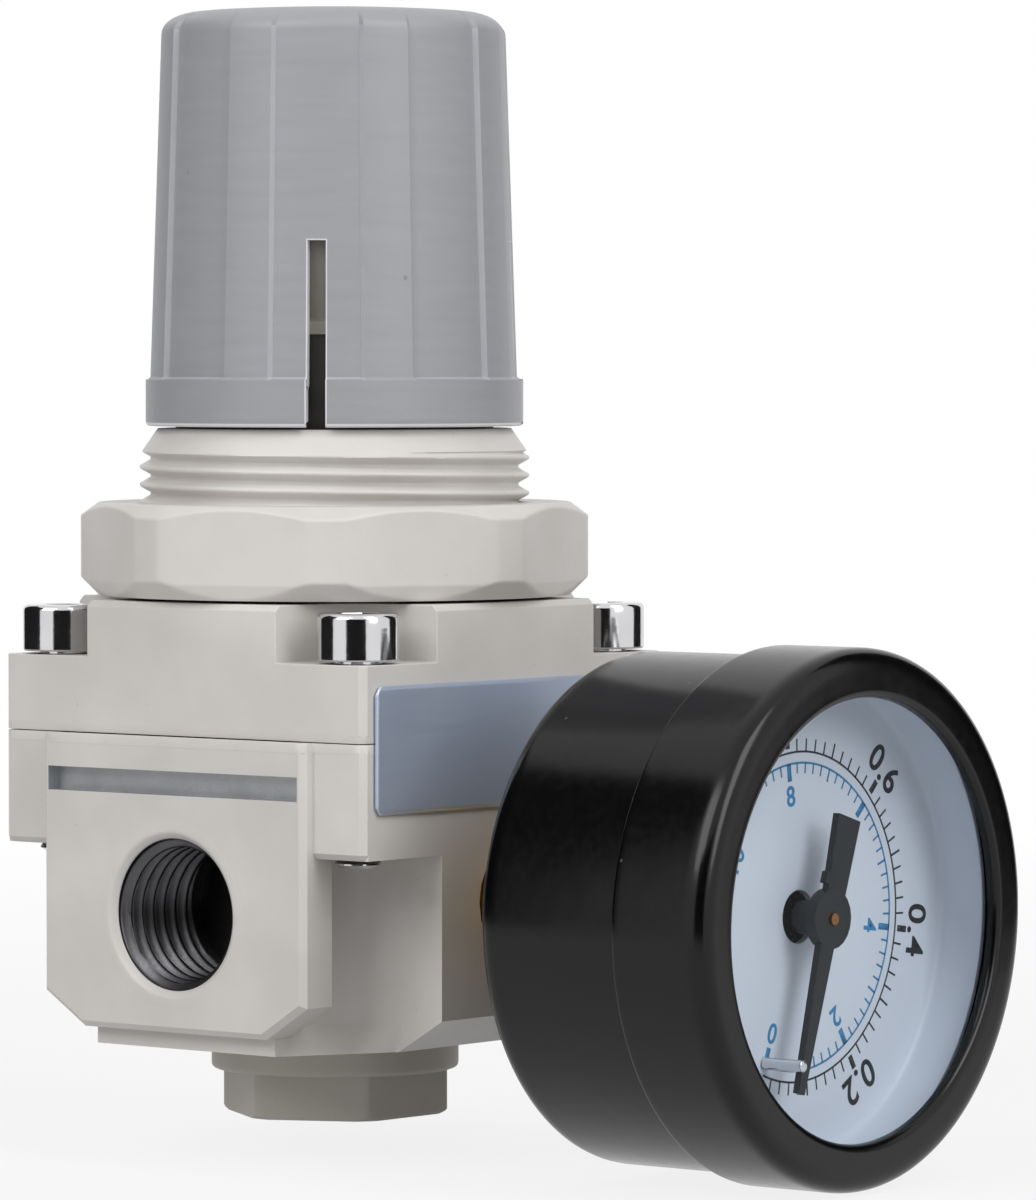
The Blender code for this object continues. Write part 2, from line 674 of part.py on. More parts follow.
def make_panel_nut():
    """The octagonal panel nut, its corners turned off and its rims chamfered."""
    low, high = BLOCK_TOP + SEAT, BLOCK_TOP + SEAT + NUT_HEIGHT
    nut = prism("panel_nut", polygon(NUT_FLATS, NUT_TURN - math.pi / 8, 8), low, high,
                "cream_coated_casting")
    blank = turned("nut_blank", [
        (0, high), (NUT_RIM_R, high), (NUT_CORNER_R, high - NUT_TOP_CHAMFER),
        (NUT_CORNER_R, low + NUT_BASE_CHAMFER), (NUT_RIM_R, low), (0, low)])
    boolean(nut, blank, "INTERSECT")
    cut(nut, rod("nut_bore", THREAD_R + RUN, low - NUT_HEIGHT, high + NUT_HEIGHT))
    return nut


def make_bonnet_screws():
    """Four socket-head screws that clamp the bonnet; each shank's tip shows under its lug."""
    low = LUG_BASE - SCREW_TIP
    seat = SCREW_SEAT + SEAT
    top = seat + SCREW_HEAD_H
    corner = SCREW_CHAMFER
    for i, (sx, sy) in enumerate(corner_signs()):
        screw = turned(f"bonnet_screw_{i + 1}", [
            (0, top), (SCREW_HEAD_R - corner, top), (SCREW_HEAD_R, top - corner),
            (SCREW_HEAD_R, seat), (SCREW_R, seat), (SCREW_R, low + corner),
            (SCREW_R - corner, low), (0, low)], "bright_plated_steel", steps=SMALL)
        screw.location = (sx * SCREW_AT, sy * SCREW_AT, 0)
        socket = prism("hex_socket", polygon(SCREW_SOCKET), top - SCREW_HEAD_H / 2,
                       top + SCREW_HEAD_H)
        socket.location = screw.location
        cut(screw, socket)


def make_diaphragm():
    """The rubber diaphragm: a clamped rim, one raised ripple and a flat centre with a hole."""
    low, high = DIAPHRAGM_Z, DIAPHRAGM_Z + DIAPHRAGM_T
    middle, outer = RIPPLE_AT_R, RIPPLE_OUT_R
    inner = RIPPLE_R - DIAPHRAGM_T / 2
    base = (middle, high - DIAPHRAGM_T / 2)
    crest = arc(base, outer, math.pi, 0.0, 5)[1:-1]
    hollow = arc(base, inner, 0.0, math.pi, 5)[1:-1]
    hole = RIVET_R + RUN
    return turned("diaphragm", [
        (DIAPHRAGM_R, high), (DIAPHRAGM_R, low), (middle + inner, low), *hollow,
        (middle - inner, low), (hole, low), (hole, high), (middle - outer, high), *crest,
        (middle + outer, high)], "nitrile_rubber", steps=MEDIUM, ring=True)


def make_diaphragm_plates():
    """The spring plate above the diaphragm and the relief disc below, with its hollow rivet."""
    low, high = SPRING_PLATE_Z, SPRING_PLATE_Z + SPRING_PLATE_T
    rivet_top = high + SPRING_PLATE_T
    boss_r = ADJ_SPRING_R - ADJ_SPRING_WIRE - RUN
    hole = RIVET_R + RUN
    turned("diaphragm_plate", [
        (boss_r - SPRING_PLATE_T / 2, rivet_top), (boss_r, high + SPRING_PLATE_T / 2),
        (boss_r, high), (SPRING_PLATE_R, high), (SPRING_PLATE_R, low), (hole, low),
        (hole, rivet_top)], "zinc_plated_steel", steps=MEDIUM, ring=True)
    base, disc_top = RELIEF_BASE, RELIEF_BASE + RELIEF_DISC_T
    turned("relief_seat", [
        (RIVET_R, rivet_top), (RIVET_R, disc_top), (RELIEF_DISC_R, disc_top),
        (RELIEF_DISC_R, base), (RELIEF_HOLE_R, base), (RELIEF_HOLE_R, rivet_top)],
        "turned_brass", steps=SMALL, ring=True)


def make_adjusting_parts():
    """The adjusting screw with its collar and hexagon, its keyed nut and the main spring."""
    top = NECK_TOP + STEM_PROUD
    end = COLLAR_BASE - STEM_LENGTH
    collar_top = COLLAR_BASE + STEM_COLLAR_T
    screw = turned("adjusting_screw", [
        (0, top), (STEM_NECK_R, top), (STEM_NECK_R, collar_top), (STEM_COLLAR_R, collar_top),
        (STEM_COLLAR_R, COLLAR_BASE), (STEM_R, COLLAR_BASE), (STEM_R, end + STEM_CHAMFER),
        (STEM_R - STEM_CHAMFER, end), (0, end)], "zinc_plated_steel", steps=MEDIUM)
    weld_on(screw, prism("drive_hexagon", polygon(STEM_HEX, KNOB_TURN),
                         WEB_BASE + TOP_WEB_T / 2, NECK_TOP + STEM_HEX_H))
    low, flange = ADJ_NUT_TOP - ADJ_NUT_H, ADJ_NUT_TOP - ADJ_NUT_T
    hole = STEM_R + RUN
    nut = turned("adjusting_nut", [
        (ADJ_NUT_R, ADJ_NUT_TOP), (ADJ_NUT_R, flange), (ADJ_NUT_HUB_R, flange),
        (ADJ_NUT_HUB_R, low), (hole, low), (hole, ADJ_NUT_TOP)],
        "turned_brass", steps=MEDIUM, ring=True)
    near, far = ADJ_NUT_HUB_R + RUN, SPRING_ROOM_R + KEYWAY_DEPTH - RUN
    wide = KEYWAY_WIDTH / 2 - RUN
    for side in (-1, 1):
        left, right = sorted((side * near, side * far))
        weld_on(nut, box("nut_key", (left, -wide, flange), (right, wide, ADJ_NUT_TOP)))
    coil("adjusting_spring", ADJ_SPRING_R, ADJ_SPRING_WIRE, SPRING_BASE, SPRING_TOP,
         ADJ_SPRING_TURNS, "spring_steel")


def knob_outline():
    """The knob's outer side from its crown down to its lower rim, as (radius, height) points."""
    top = KNOB_BASE + KNOB_HEIGHT
    shoulder = top - KNOB_SHOULDER_H
    band = KNOB_BASE + KNOB_BAND_H
    reach, rise = KNOB_TOP_R - KNOB_CROWN_R, KNOB_SHOULDER_H - KNOB_CROWN_H
    rounding = [(KNOB_CROWN_R + reach * x, shoulder + rise * y)
                for x, y in arc((0, 0), 1, math.pi / 2, 0, 6)]
    return [(0, top), (KNOB_CROWN_R / 2, top - KNOB_CROWN_H / 4), *rounding,
            (KNOB_BODY_R, band + KNOB_R - KNOB_BODY_R), (KNOB_R, band),
            (KNOB_R, KNOB_BASE + EDGE_ROUND / 2), (KNOB_R - EDGE_ROUND / 2, KNOB_BASE)]


def make_knob():
    """The hollow knob: eight shallow panels, four slits and a socket hub held by ribs."""
    band = KNOB_BASE + KNOB_BAND_H
    inner = KNOB_R - KNOB_WALL
    upper = KNOB_TOP_R - KNOB_WALL - KNOB_PANEL_DEPTH
    step = NECK_TOP + STEM_PROUD
    roof = KNOB_BASE + KNOB_HEIGHT - KNOB_ROOF_T
    lip_r = inner - KNOB_LIP
    inside = [(inner, KNOB_BASE), (lip_r, KNOB_BASE + KNOB_LIP), (lip_r, band),
              (inner, band + KNOB_LIP), (inner, step), (upper, step + inner - upper),
              (upper, roof), (0, roof)]
    knob = turned("knob", knob_outline() + inside, "grey_moulded_plastic")
    for i in range(KNOB_PANELS):
        cut(knob, knob_panel(KNOB_TURN + math.tau * i / KNOB_PANELS))
    for i in range(KNOB_SLITS):
        slit = box("slit", (inner - 2 * KNOB_WALL, -KNOB_SLIT_W / 2, KNOB_BASE - KNOB_BAND_H),
                   (2 * KNOB_R, KNOB_SLIT_W / 2, KNOB_BASE + KNOB_SLIT_H))
        slit.rotation_euler = (0, 0, KNOB_TURN + math.tau * i / KNOB_SLITS)
        cut(knob, slit)
    hub_low = roof - KNOB_HUB_H
    in_roof = roof + KNOB_ROOF_T / 2
    hub = rod("hub", KNOB_HUB_R, hub_low, in_roof, steps=MEDIUM)
    reach = upper + KNOB_PANEL_DEPTH
    for i in range(2):
        rib = box("rib", (-reach, -KNOB_RIB_T / 2, roof - KNOB_RIB_H),
                  (reach, KNOB_RIB_T / 2, in_roof))
        rib.rotation_euler = (0, 0, KNOB_TURN + math.pi / 4 + math.pi / 2 * i)
        weld_on(hub, rib)
    cut(hub, prism("socket", polygon(STEM_HEX + 2 * RUN, KNOB_TURN), hub_low - KNOB_LIFT,
                   NECK_TOP + STEM_HEX_H + SEAT))
    weld_on(knob, hub)
    return knob


def knob_panel(angle):
    """The cutter of one recessed panel: a wedge of ring that stands at a set depth in the side."""
    band = KNOB_BASE + KNOB_BAND_H
    shoulder = KNOB_BASE + KNOB_HEIGHT - KNOB_SHOULDER_H
    low, high = angle - KNOB_PANEL_ARC / 2, angle + KNOB_PANEL_ARC / 2
    bm = bmesh.new()
    loops = []
    for z, radius in ((band, KNOB_BODY_R), (shoulder, KNOB_TOP_R)):
        near = arc((0, 0), radius - KNOB_PANEL_DEPTH, low, high, 5)
        far = arc((0, 0), 1.5 * radius, high, low, 5)
        loops.append([bm.verts.new((x, y, z)) for x, y in near + far])
    for loop in loops:
        bm.faces.new(loop)
    for i in range(len(loops[0])):
        bm.faces.new((loops[0][i - 1], loops[0][i], loops[1][i], loops[1][i - 1]))
    bmesh.ops.recalc_face_normals(bm, faces=bm.faces)
    return from_bmesh("panel", bm)


def make_valve():
    """The poppet with its push stem and guide stem, the rubber pad on it and the return spring."""
    base = POPPET_TOP - POPPET_T
    top = RELIEF_BASE - SEAT
    tip = base - GUIDE_STEM_H
    ring_r = GUIDE_STEM_R - 2 * STEM_RING_SECTION
    ring_z = tip + STEM_RING_UP
    half = STEM_RING_SECTION + SEAT
    turned("valve_poppet", [
        (0, top), (PUSH_STEM_R / 2, top), (PUSH_STEM_R, top - PUSH_STEM_R / 2),
        (PUSH_STEM_R, POPPET_TOP), (POPPET_R, POPPET_TOP), (POPPET_R, base + POPPET_T / 3),
        (GUIDE_STEM_R + POPPET_T / 3, base), (GUIDE_STEM_R, base),
        (GUIDE_STEM_R, ring_z + half), (ring_r - SEAT, ring_z + half),
        (ring_r - SEAT, ring_z - half), (GUIDE_STEM_R, ring_z - half),
        (GUIDE_STEM_R, tip + PUSH_STEM_R / 3), (GUIDE_STEM_R - PUSH_STEM_R / 3, tip), (0, tip)],
        "turned_brass", steps=SMALL)
    pad_low, pad_high = POPPET_TOP + SEAT / 2, POPPET_TOP + POPPET_PAD_T
    turned("valve_seat_pad", [
        (POPPET_R, pad_high), (POPPET_R, pad_low), (PUSH_STEM_R + RUN, pad_low),
        (PUSH_STEM_R + RUN, pad_high)], "nitrile_rubber", steps=SMALL, ring=True)
    o_ring("stem_o_ring", ring_r + STEM_RING_SECTION, STEM_RING_SECTION, ring_z)
    coil("valve_spring", VALVE_SPRING_R, VALVE_SPRING_WIRE, GUIDE_SHELF + SEAT, base - SEAT,
         VALVE_SPRING_TURNS, "spring_steel")


def o_ring(name, radius, section, z):
    """A round sealing ring about the vertical axis."""
    circle = arc((radius, z), section, math.pi / 2, math.pi / 2 - math.tau, 7)[:-1]
    return turned(name, circle, "nitrile_rubber", steps=SMALL, ring=True)


def make_valve_guide():
    """The hexagonal guide that screws in from below: barrel, ring groove, flange and blind bore."""
    ring_r = GUIDE_BARREL_R - 2 * GUIDE_RING_SECTION
    groove_r = ring_r - SEAT
    ring_z = BODY_BASE + GUIDE_RING_UP
    half = GUIDE_RING_SECTION + SEAT
    low = GUIDE_FLANGE_TOP - GUIDE_FLANGE_T
    room_r = VALVE_SPRING_R + VALVE_SPRING_WIRE + RUN
    bore_r = GUIDE_STEM_R + RUN
    bore_floor = POPPET_TOP - POPPET_T - GUIDE_STEM_H - STROKE_ROOM
    guide = turned("valve_guide", [
        (GUIDE_BARREL_R, GUIDE_BARREL_TOP), (GUIDE_BARREL_R, ring_z + half),
        (groove_r, ring_z + half), (groove_r, ring_z - half), (GUIDE_BARREL_R, ring_z - half),
        (GUIDE_BARREL_R, GUIDE_FLANGE_TOP), (GUIDE_FLANGE_R, GUIDE_FLANGE_TOP),
        (GUIDE_FLANGE_R, low), (0, low), (0, bore_floor), (bore_r, bore_floor),
        (bore_r, GUIDE_SHELF), (room_r, GUIDE_SHELF), (room_r, GUIDE_BARREL_TOP)],
        "stone_moulded_plastic", steps=MEDIUM, ring=True)
    hex_low = low - GUIDE_HEX_H
    hex_head = prism("guide_hexagon", polygon(GUIDE_HEX, GUIDE_TURN), hex_low,
                     low + GUIDE_FLANGE_T / 2)
    corner_r = GUIDE_HEX / 2 / math.cos(math.pi / 6)
    blank = turned("hexagon_blank", [
        (0, low + GUIDE_FLANGE_T), (corner_r, low + GUIDE_FLANGE_T),
        (corner_r, hex_low + GUIDE_HEX_TRIM.y), (corner_r - GUIDE_HEX_TRIM.x, hex_low),
        (0, hex_low)], steps=MEDIUM)
    boolean(hex_head, blank, "INTERSECT")
    weld_on(guide, hex_head)
    o_ring("guide_o_ring", ring_r + GUIDE_RING_SECTION, GUIDE_RING_SECTION, ring_z)


def make_back_plug():
    """The socket plug that closes the gauge port at the back."""
    radius = GAUGE_PORT_R - SEAT
    outer = BODY_HALF - PLUG_SUNK
    inner = outer - PLUG_LENGTH
    corner = THREAD_CHAMFER
    plug = turned("gauge_port_plug", [
        (0, outer), (radius - corner, outer), (radius, outer - corner), (radius, inner + corner),
        (radius - corner, inner), (0, inner)], "zinc_plated_steel", steps=MEDIUM)
    plug.location = (0, 0, GAUGE_Z)
    lay_y(plug)
    socket = prism("plug_socket", polygon(PLUG_SOCKET), outer - PLUG_SOCKET_DEPTH,
                   outer + PLUG_LENGTH)
    socket.location = (0, 0, GAUGE_Z)
    cut(plug, lay_y(socket))


def make_label():
    """The plain foil plate on the front face, across the joint of bonnet and body."""
    reach, rise = BODY_HALF - LABEL_MARGIN, LABEL_HEIGHT / 2
    face = -BODY_HALF - SEAT / 2
    return box("label_plate", (-reach, face - LABEL_T, LABEL_Z - rise),
               (reach, face, LABEL_Z + rise), "foil_plate")


def make_gauge_housing():
    """Case, bezel, lens and dial dish, turned about the gauge's own axis."""
    hole = SOCKET_SHOULDER_R + RUN
    inner_back = CASE_BACK + CASE_SHEET
    corner = arc((CASE_R - CASE_ROUND, CASE_BACK + CASE_ROUND), CASE_ROUND, 0, -math.pi / 2, 3)
    turned("gauge_case", [
        (CASE_R, CASE_FRONT), *corner, (hole, CASE_BACK), (hole, inner_back),
        (CASE_IN_R - CASE_ROUND, inner_back), (CASE_IN_R, inner_back + CASE_ROUND),
        (CASE_IN_R, CASE_FRONT)], "black_gloss_enamel", gauge_frame, steps=WIDE, ring=True)
    nose = arc((BEZEL_R - BEZEL_ROUND, BEZEL_FRONT - BEZEL_ROUND), BEZEL_ROUND, math.pi / 2, 0, 3)
    lip = BEZEL_FRONT - LIP_T
    turned("gauge_bezel", [
        *nose, (BEZEL_R, BEZEL_BACK), (CASE_R + SEAT, BEZEL_BACK), (CASE_R + SEAT, lip),
        (GLASS_R, lip), (GLASS_R, BEZEL_FRONT - LIP_T / 3), (GLASS_R + LIP_T / 3, BEZEL_FRONT)],
        "black_gloss_enamel", gauge_frame, steps=WIDE, ring=True)
    turned("gauge_lens", [(0, LENS_FRONT), (CASE_R, LENS_FRONT), (CASE_R, LENS_BACK),
                          (0, LENS_BACK)], "clear_acrylic", gauge_frame)
    wall, back = DIAL_R - DIAL_WALL, DIAL_FACE - DIAL_T
    turned("gauge_dial", [
        (DIAL_R, CASE_FRONT), (DIAL_R, back), (DIAL_HOLE_R, back), (DIAL_HOLE_R, DIAL_FACE),
        (wall, DIAL_FACE), (wall, CASE_FRONT)], "white_enamel", gauge_frame, steps=WIDE, ring=True)


def make_gauge_socket():
    """The brass socket: threaded end, wrench square, shoulder and the block inside the case."""
    radius = GAUGE_PORT_R - SEAT
    start = BODY_HALF - GAUGE_THREAD
    square_low, square_high = BODY_HALF + SQUARE_STAND, CASE_BACK - SQUARE_TO_CASE
    in_block = BLOCK_FRONT - BLOCK_SIZE.y / 2
    corner = THREAD_CHAMFER
    socket = turned("gauge_socket", [
        (0, in_block), (SOCKET_SHOULDER_R, in_block), (SOCKET_SHOULDER_R, square_low + corner),
        (radius, square_low + corner), (radius, start + corner), (radius - corner, start),
        (0, start)], "turned_brass", gauge_frame, steps=MEDIUM)
    square = prism("wrench_square", polygon(WRENCH_SQUARE, 0, 4), square_low, square_high)
    round_edges(square, EDGE_ROUND)
    half = BLOCK_SIZE.x / 2
    end = TUBE_R * math.sin(TUBE_START) - half / 2
    block = box("tube_block", (-half, end, BLOCK_FRONT - BLOCK_SIZE.y), (half, half, BLOCK_FRONT))
    weld_on(socket, square, block)
    cut(socket, rod("pressure_way", GAUGE_WAY_R / 2, start - corner, in_block, steps=SMALL))


def tube_tip():
    """Where the Bourdon tube's tip carries the link, in the plane of the dial."""
    return Vector((math.cos(TUBE_END), math.sin(TUBE_END))) * TUBE_R


def make_bourdon_tube():
    """The flattened tube bent to three quarters of a circle, with the tip that drives the link."""
    half, low, high = TUBE_DEPTH / 2, TUBE_Z - TUBE_WIDTH / 2, TUBE_Z + TUBE_WIDTH / 2
    outline = arc((0, 0), TUBE_R + half, TUBE_START, TUBE_END, 20)
    outline += arc((0, 0), TUBE_R - half, TUBE_END, TUBE_START, 20)
    tube = prism("bourdon_tube", outline, low, high, "phosphor_bronze", gauge_frame)
    tip = tube_tip()
    post_high = GEAR_Z - LINK_T - 2 * SEAT
    return weld_on(tube, rod("tip_post", TUBE_DEPTH, TUBE_Z, post_high, tip, steps=SMALL),
                   rod("tip_pin", LINK_PIN_R, TUBE_Z, GEAR_Z + LINK_T, tip, steps=SMALL))


def gear_outline(teeth, first, count, centre, phase, root_r):
    """Straight-sided teeth, from number first on, about a centre, as (x, y) points."""
    pitch_r = TOOTH_MODULE * teeth / 2
    tip_r = pitch_r + TOOTH_ADDENDUM
    flank_r = pitch_r - TOOTH_MODULE / 5
    flank = ((-0.36, root_r), (-0.24, flank_r), (-0.1, tip_r), (0.1, tip_r), (0.24, flank_r),
             (0.36, root_r))
    points = []
    for i in range(first, first + count):
        for share, radius in flank:
            angle = phase + math.tau * (i + share) / teeth
            points.append((centre[0] + radius * math.cos(angle),
                           centre[1] + radius * math.sin(angle)))
    return points


def make_movement():
    """The movement: two plates on pillars, the arbor and its pinion, sector, link, hairspring."""
    make_movement_plates()
    make_arbor()
    make_sector()
    make_link()
    count = HAIRSPRING_TURNS * SMALL
    z = PLATE_BACK + MOVEMENT_PLATE_T + HAIRSPRING_UP
    spiral = []
    for i in range(count + 1):
        angle = math.tau * i / SMALL
        radius = HAIRSPRING_IN_R + (HAIRSPRING_OUT_R - HAIRSPRING_IN_R) * i / count
        spiral.append((radius * math.cos(angle), radius * math.sin(angle), z))
    wire_object("hairspring", spiral, HAIRSPRING_WIRE, "phosphor_bronze", gauge_frame, 0)


def pillar_places():
    return [Vector((-PILLAR_AT.x, PILLAR_AT.y)), PILLAR_AT,
            Vector((PILLAR_AT.x, SECTOR_PIVOT.y - LOW_PILLAR_DROP))]


def movement_plate(name, low, holes):
    """One movement plate with rounded ends, bored for what passes through it."""
    high, half = low + MOVEMENT_PLATE_T, MOVEMENT_PLATE_W / 2
    outline = arc((0, PLATE_TOP_AT), half, 0, math.pi, 8)
    outline += arc((0, SECTOR_PIVOT.y), half, math.pi, math.tau, 8)
    plate = prism(name, outline, low, high, "turned_brass", gauge_frame)
    for centre, radius in holes:
        cut(plate, rod("bearing_hole", radius, low - MOVEMENT_PLATE_T, high + MOVEMENT_PLATE_T,
                       centre, steps=SMALL))
    return plate


def make_movement_plates():
    """The back plate with its pillars and the front plate that sits over their ends."""
    bearings = [((0, 0), ARBOR_R + SHAFT_RUN), (SECTOR_PIVOT, SECTOR_PIN_R + SHAFT_RUN)]
    back = movement_plate("movement_back_plate", PLATE_BACK, bearings)
    in_back, in_front = PLATE_BACK + MOVEMENT_PLATE_T / 2, PLATE_FRONT + MOVEMENT_PLATE_T / 2
    for centre in pillar_places():
        weld_on(back, rod("pillar", PILLAR_R, in_back, PLATE_FRONT - SEAT, centre, steps=SMALL),
                rod("pillar_end", PILLAR_R / 2, in_back, in_front, centre, steps=SMALL))
    bearings += [(centre, PILLAR_R / 2 + SHAFT_RUN) for centre in pillar_places()]
    movement_plate("movement_front_plate", PLATE_FRONT, bearings)


def make_arbor():
    """The pointer's arbor with its pinion cut in one piece."""
    arbor = rod("pointer_arbor", ARBOR_R, PLATE_BACK + SEAT, POINTER_FACE + ARBOR_PROUD, (0, 0),
                "phosphor_bronze", gauge_frame, steps=SMALL)
    phase = -math.pi / 2 + math.pi / PINION_TEETH
    teeth = gear_outline(PINION_TEETH, 0, PINION_TEETH, (0, 0), phase,
                         PINION_PITCH_R - TOOTH_DEDENDUM)
    return weld_on(arbor, prism("pinion", teeth, GEAR_Z - SEAT, GEAR_Z + GEAR_T + SEAT))


def make_sector():
    """The sector gear: toothed rim, pierced web and tail in one plate, with its hub and pivots."""
    centre = SECTOR_PIVOT
    low, high = GEAR_Z, GEAR_Z + GEAR_T
    step = math.tau / SECTOR_TEETH
    first = -SECTOR_ARC_TEETH // 2
    tooth = math.pi / 2 + round((SECTOR_REST - math.pi / 2) / step) * step
    middle, half_arc = tooth - step / 2, SECTOR_ARC_TEETH * step / 2
    rim_r = SECTOR_PITCH_R - SECTOR_RIM_W
    end = tail_point()
    side = (end - centre).normalized() * SECTOR_TAIL_W / 2
    across = Vector((-side.y, side.x))
    plate = gear_outline(SECTOR_TEETH, first, SECTOR_ARC_TEETH, centre, tooth,
                         SECTOR_PITCH_R - TOOTH_DEDENDUM)
    plate += arc(centre, rim_r, middle + half_arc, middle + 0.8 * half_arc, 2)
    plate += [centre - across, end - across, end + side, end + across, centre + across]
    plate += arc(centre, rim_r, middle - 0.8 * half_arc, middle - half_arc, 2)
    window = arc(centre, rim_r - SECTOR_RIM_W / 4, middle + half_arc / 2, middle - half_arc / 2, 4)
    window += arc(centre, rim_r / 2, middle - 0.4 * half_arc, middle + 0.4 * half_arc, 3)
    sector = prism("sector_gear", plate, low, high, "turned_brass", gauge_frame)
    cut(sector, prism("sector_window", window, low - GEAR_T, high + GEAR_T))
    pivot_low, pivot_high = PLATE_BACK + SEAT, PLATE_FRONT + MOVEMENT_PLATE_T - SEAT
    return weld_on(
        sector,
        rod("tail_pin", LINK_PIN_R, low - LINK_T - 2 * SEAT, low + GEAR_T / 2, end, steps=SMALL),
        rod("sector_hub", SECTOR_HUB_R, low - SEAT, high + SEAT, centre, steps=SMALL),
        rod("sector_pivot", SECTOR_PIN_R, pivot_low, pivot_high, centre, steps=SMALL))


def tail_point():
    """Where the link is pinned to the sector's tail."""
    return SECTOR_PIVOT + Vector((math.cos(TAIL_ANGLE), math.sin(TAIL_ANGLE))) * SECTOR_TAIL


def make_link():
    """The flat link from the sector's tail to the tube's tip, with a slot at its open pivot."""
    start, end = tail_point(), tube_tip()
    way = math.atan2(end.y - start.y, end.x - start.x)
    half = LINK_WIDTH / 2
    low, high = GEAR_Z - SEAT - LINK_T, GEAR_Z - SEAT
    outline = arc(start, half, way + math.pi / 2, way + 1.5 * math.pi, 7)
    outline += arc(end, half, way - math.pi / 2, way + math.pi / 2, 7)
    link = prism("tip_link", outline, low, high, "turned_brass", gauge_frame)
    hole = LINK_PIN_R + SHAFT_RUN
    slot_r = hole + SHAFT_RUN / 2
    near = end - Vector((math.cos(way), math.sin(way))) * LINK_PLAY
    slot = arc(end, slot_r, way - math.pi / 2, way + math.pi / 2, 6)
    slot += arc(near, slot_r, way + math.pi / 2, way + 1.5 * math.pi, 6)
    return cut(link, rod("link_hole", hole, low - LINK_T, high + LINK_T, start, steps=SMALL),
               prism("link_slot", slot, low - LINK_T, high + LINK_T))


def make_pointer():
    """The pointer with its wide tail, its hub and the collar that grips the arbor."""
    high, low = POINTER_FACE, POINTER_FACE - POINTER_T
    tip, hub, tail = [width / 2 for width in POINTER_WIDTHS]
    blade = [(POINTER_TIP, -tip), (POINTER_TIP, tip), (0, hub), (-POINTER_HUB_R, hub),
             (-POINTER_TAIL, tail), (-POINTER_TAIL, -tail), (-POINTER_HUB_R, -hub), (0, -hub)]
    turn = Matrix.Rotation(POINTER_ANGLE, 2)
    pointer = prism("gauge_pointer", [turn @ Vector(p) for p in blade], low, high,
                    "matt_black_enamel", gauge_frame)
    weld_on(pointer, rod("pointer_hub", POINTER_HUB_R, low - POINTER_T / 2,
                         high + POINTER_T / 6, steps=MEDIUM),
            rod("pointer_collar", POINTER_COLLAR_R, DIAL_FACE + SEAT, low, steps=SMALL))
    return cut(pointer, rod("arbor_hole", ARBOR_R + SEAT / 2, DIAL_FACE - DIAL_T,
                            high + POINTER_T, steps=SMALL))


def make_stop_pin():
    """The stop pin on the dial that the pointer rests against at zero."""
    centre = Vector((math.cos(STOP_ANGLE), math.sin(STOP_ANGLE))) * STOP_RADIUS
    low = DIAL_FACE + SEAT / 2
    return rod("pointer_stop", STOP_R, low, low + STOP_LENGTH, centre, "bright_plated_steel",
               gauge_frame, steps=SMALL, corner=STOP_CHAMFER)


def build():
    start_scene()
    make_finishes()
    make_body()
    make_bonnet()
    make_panel_nut()
    make_bonnet_screws()
    make_diaphragm()
    make_diaphragm_plates()
    make_adjusting_parts()
    make_knob()
    make_valve()
    make_valve_guide()
    make_back_plug()
    make_label()
    make_gauge_housing()
    make_gauge_socket()
    make_bourdon_tube()
    make_movement()
    make_pointer()
    make_stop_pin()


build()
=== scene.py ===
"""Pressure regulator with its dial gauge: the looks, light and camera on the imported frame.

Shapes are worked out in millimetres about the port axis and the regulator's vertical axis, and
turned to metres when their mesh is made. The ports run along X, the gauge looks along -Y and the
adjusting knob is at +Z.
"""
import math

import bmesh
import bpy
import numpy as np
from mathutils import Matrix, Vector


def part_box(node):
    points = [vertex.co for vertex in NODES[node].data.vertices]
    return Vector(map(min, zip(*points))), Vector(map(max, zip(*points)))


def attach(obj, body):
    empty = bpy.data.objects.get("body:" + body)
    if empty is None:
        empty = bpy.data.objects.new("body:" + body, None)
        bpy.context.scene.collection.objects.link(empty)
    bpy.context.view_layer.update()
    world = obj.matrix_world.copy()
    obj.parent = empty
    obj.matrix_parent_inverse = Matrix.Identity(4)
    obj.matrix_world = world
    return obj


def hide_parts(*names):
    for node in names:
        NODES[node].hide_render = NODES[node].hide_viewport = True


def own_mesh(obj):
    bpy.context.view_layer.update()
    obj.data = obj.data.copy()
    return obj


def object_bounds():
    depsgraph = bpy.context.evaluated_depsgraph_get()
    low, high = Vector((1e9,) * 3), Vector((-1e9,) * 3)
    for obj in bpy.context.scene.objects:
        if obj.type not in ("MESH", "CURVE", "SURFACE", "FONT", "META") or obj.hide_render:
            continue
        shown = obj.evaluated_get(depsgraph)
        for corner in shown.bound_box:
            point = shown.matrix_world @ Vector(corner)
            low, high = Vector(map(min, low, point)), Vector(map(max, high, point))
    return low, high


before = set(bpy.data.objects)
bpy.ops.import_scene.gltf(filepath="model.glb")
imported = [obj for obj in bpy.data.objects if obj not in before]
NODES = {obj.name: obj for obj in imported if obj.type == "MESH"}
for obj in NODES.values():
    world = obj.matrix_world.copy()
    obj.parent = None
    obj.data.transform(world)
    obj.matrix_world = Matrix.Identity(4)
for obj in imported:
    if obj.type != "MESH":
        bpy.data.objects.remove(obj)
cad_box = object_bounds()
MM = 0.001

AROUND = 192  # points round a large turned piece
AROUND_SMALL = 48  # points round a pin or screw
STEP = 0.5  # longest run of a profile between two points


def cad(node):
    """The lowest and highest corner of a CAD node, in millimetres."""
    return np.array(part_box(node)) / MM


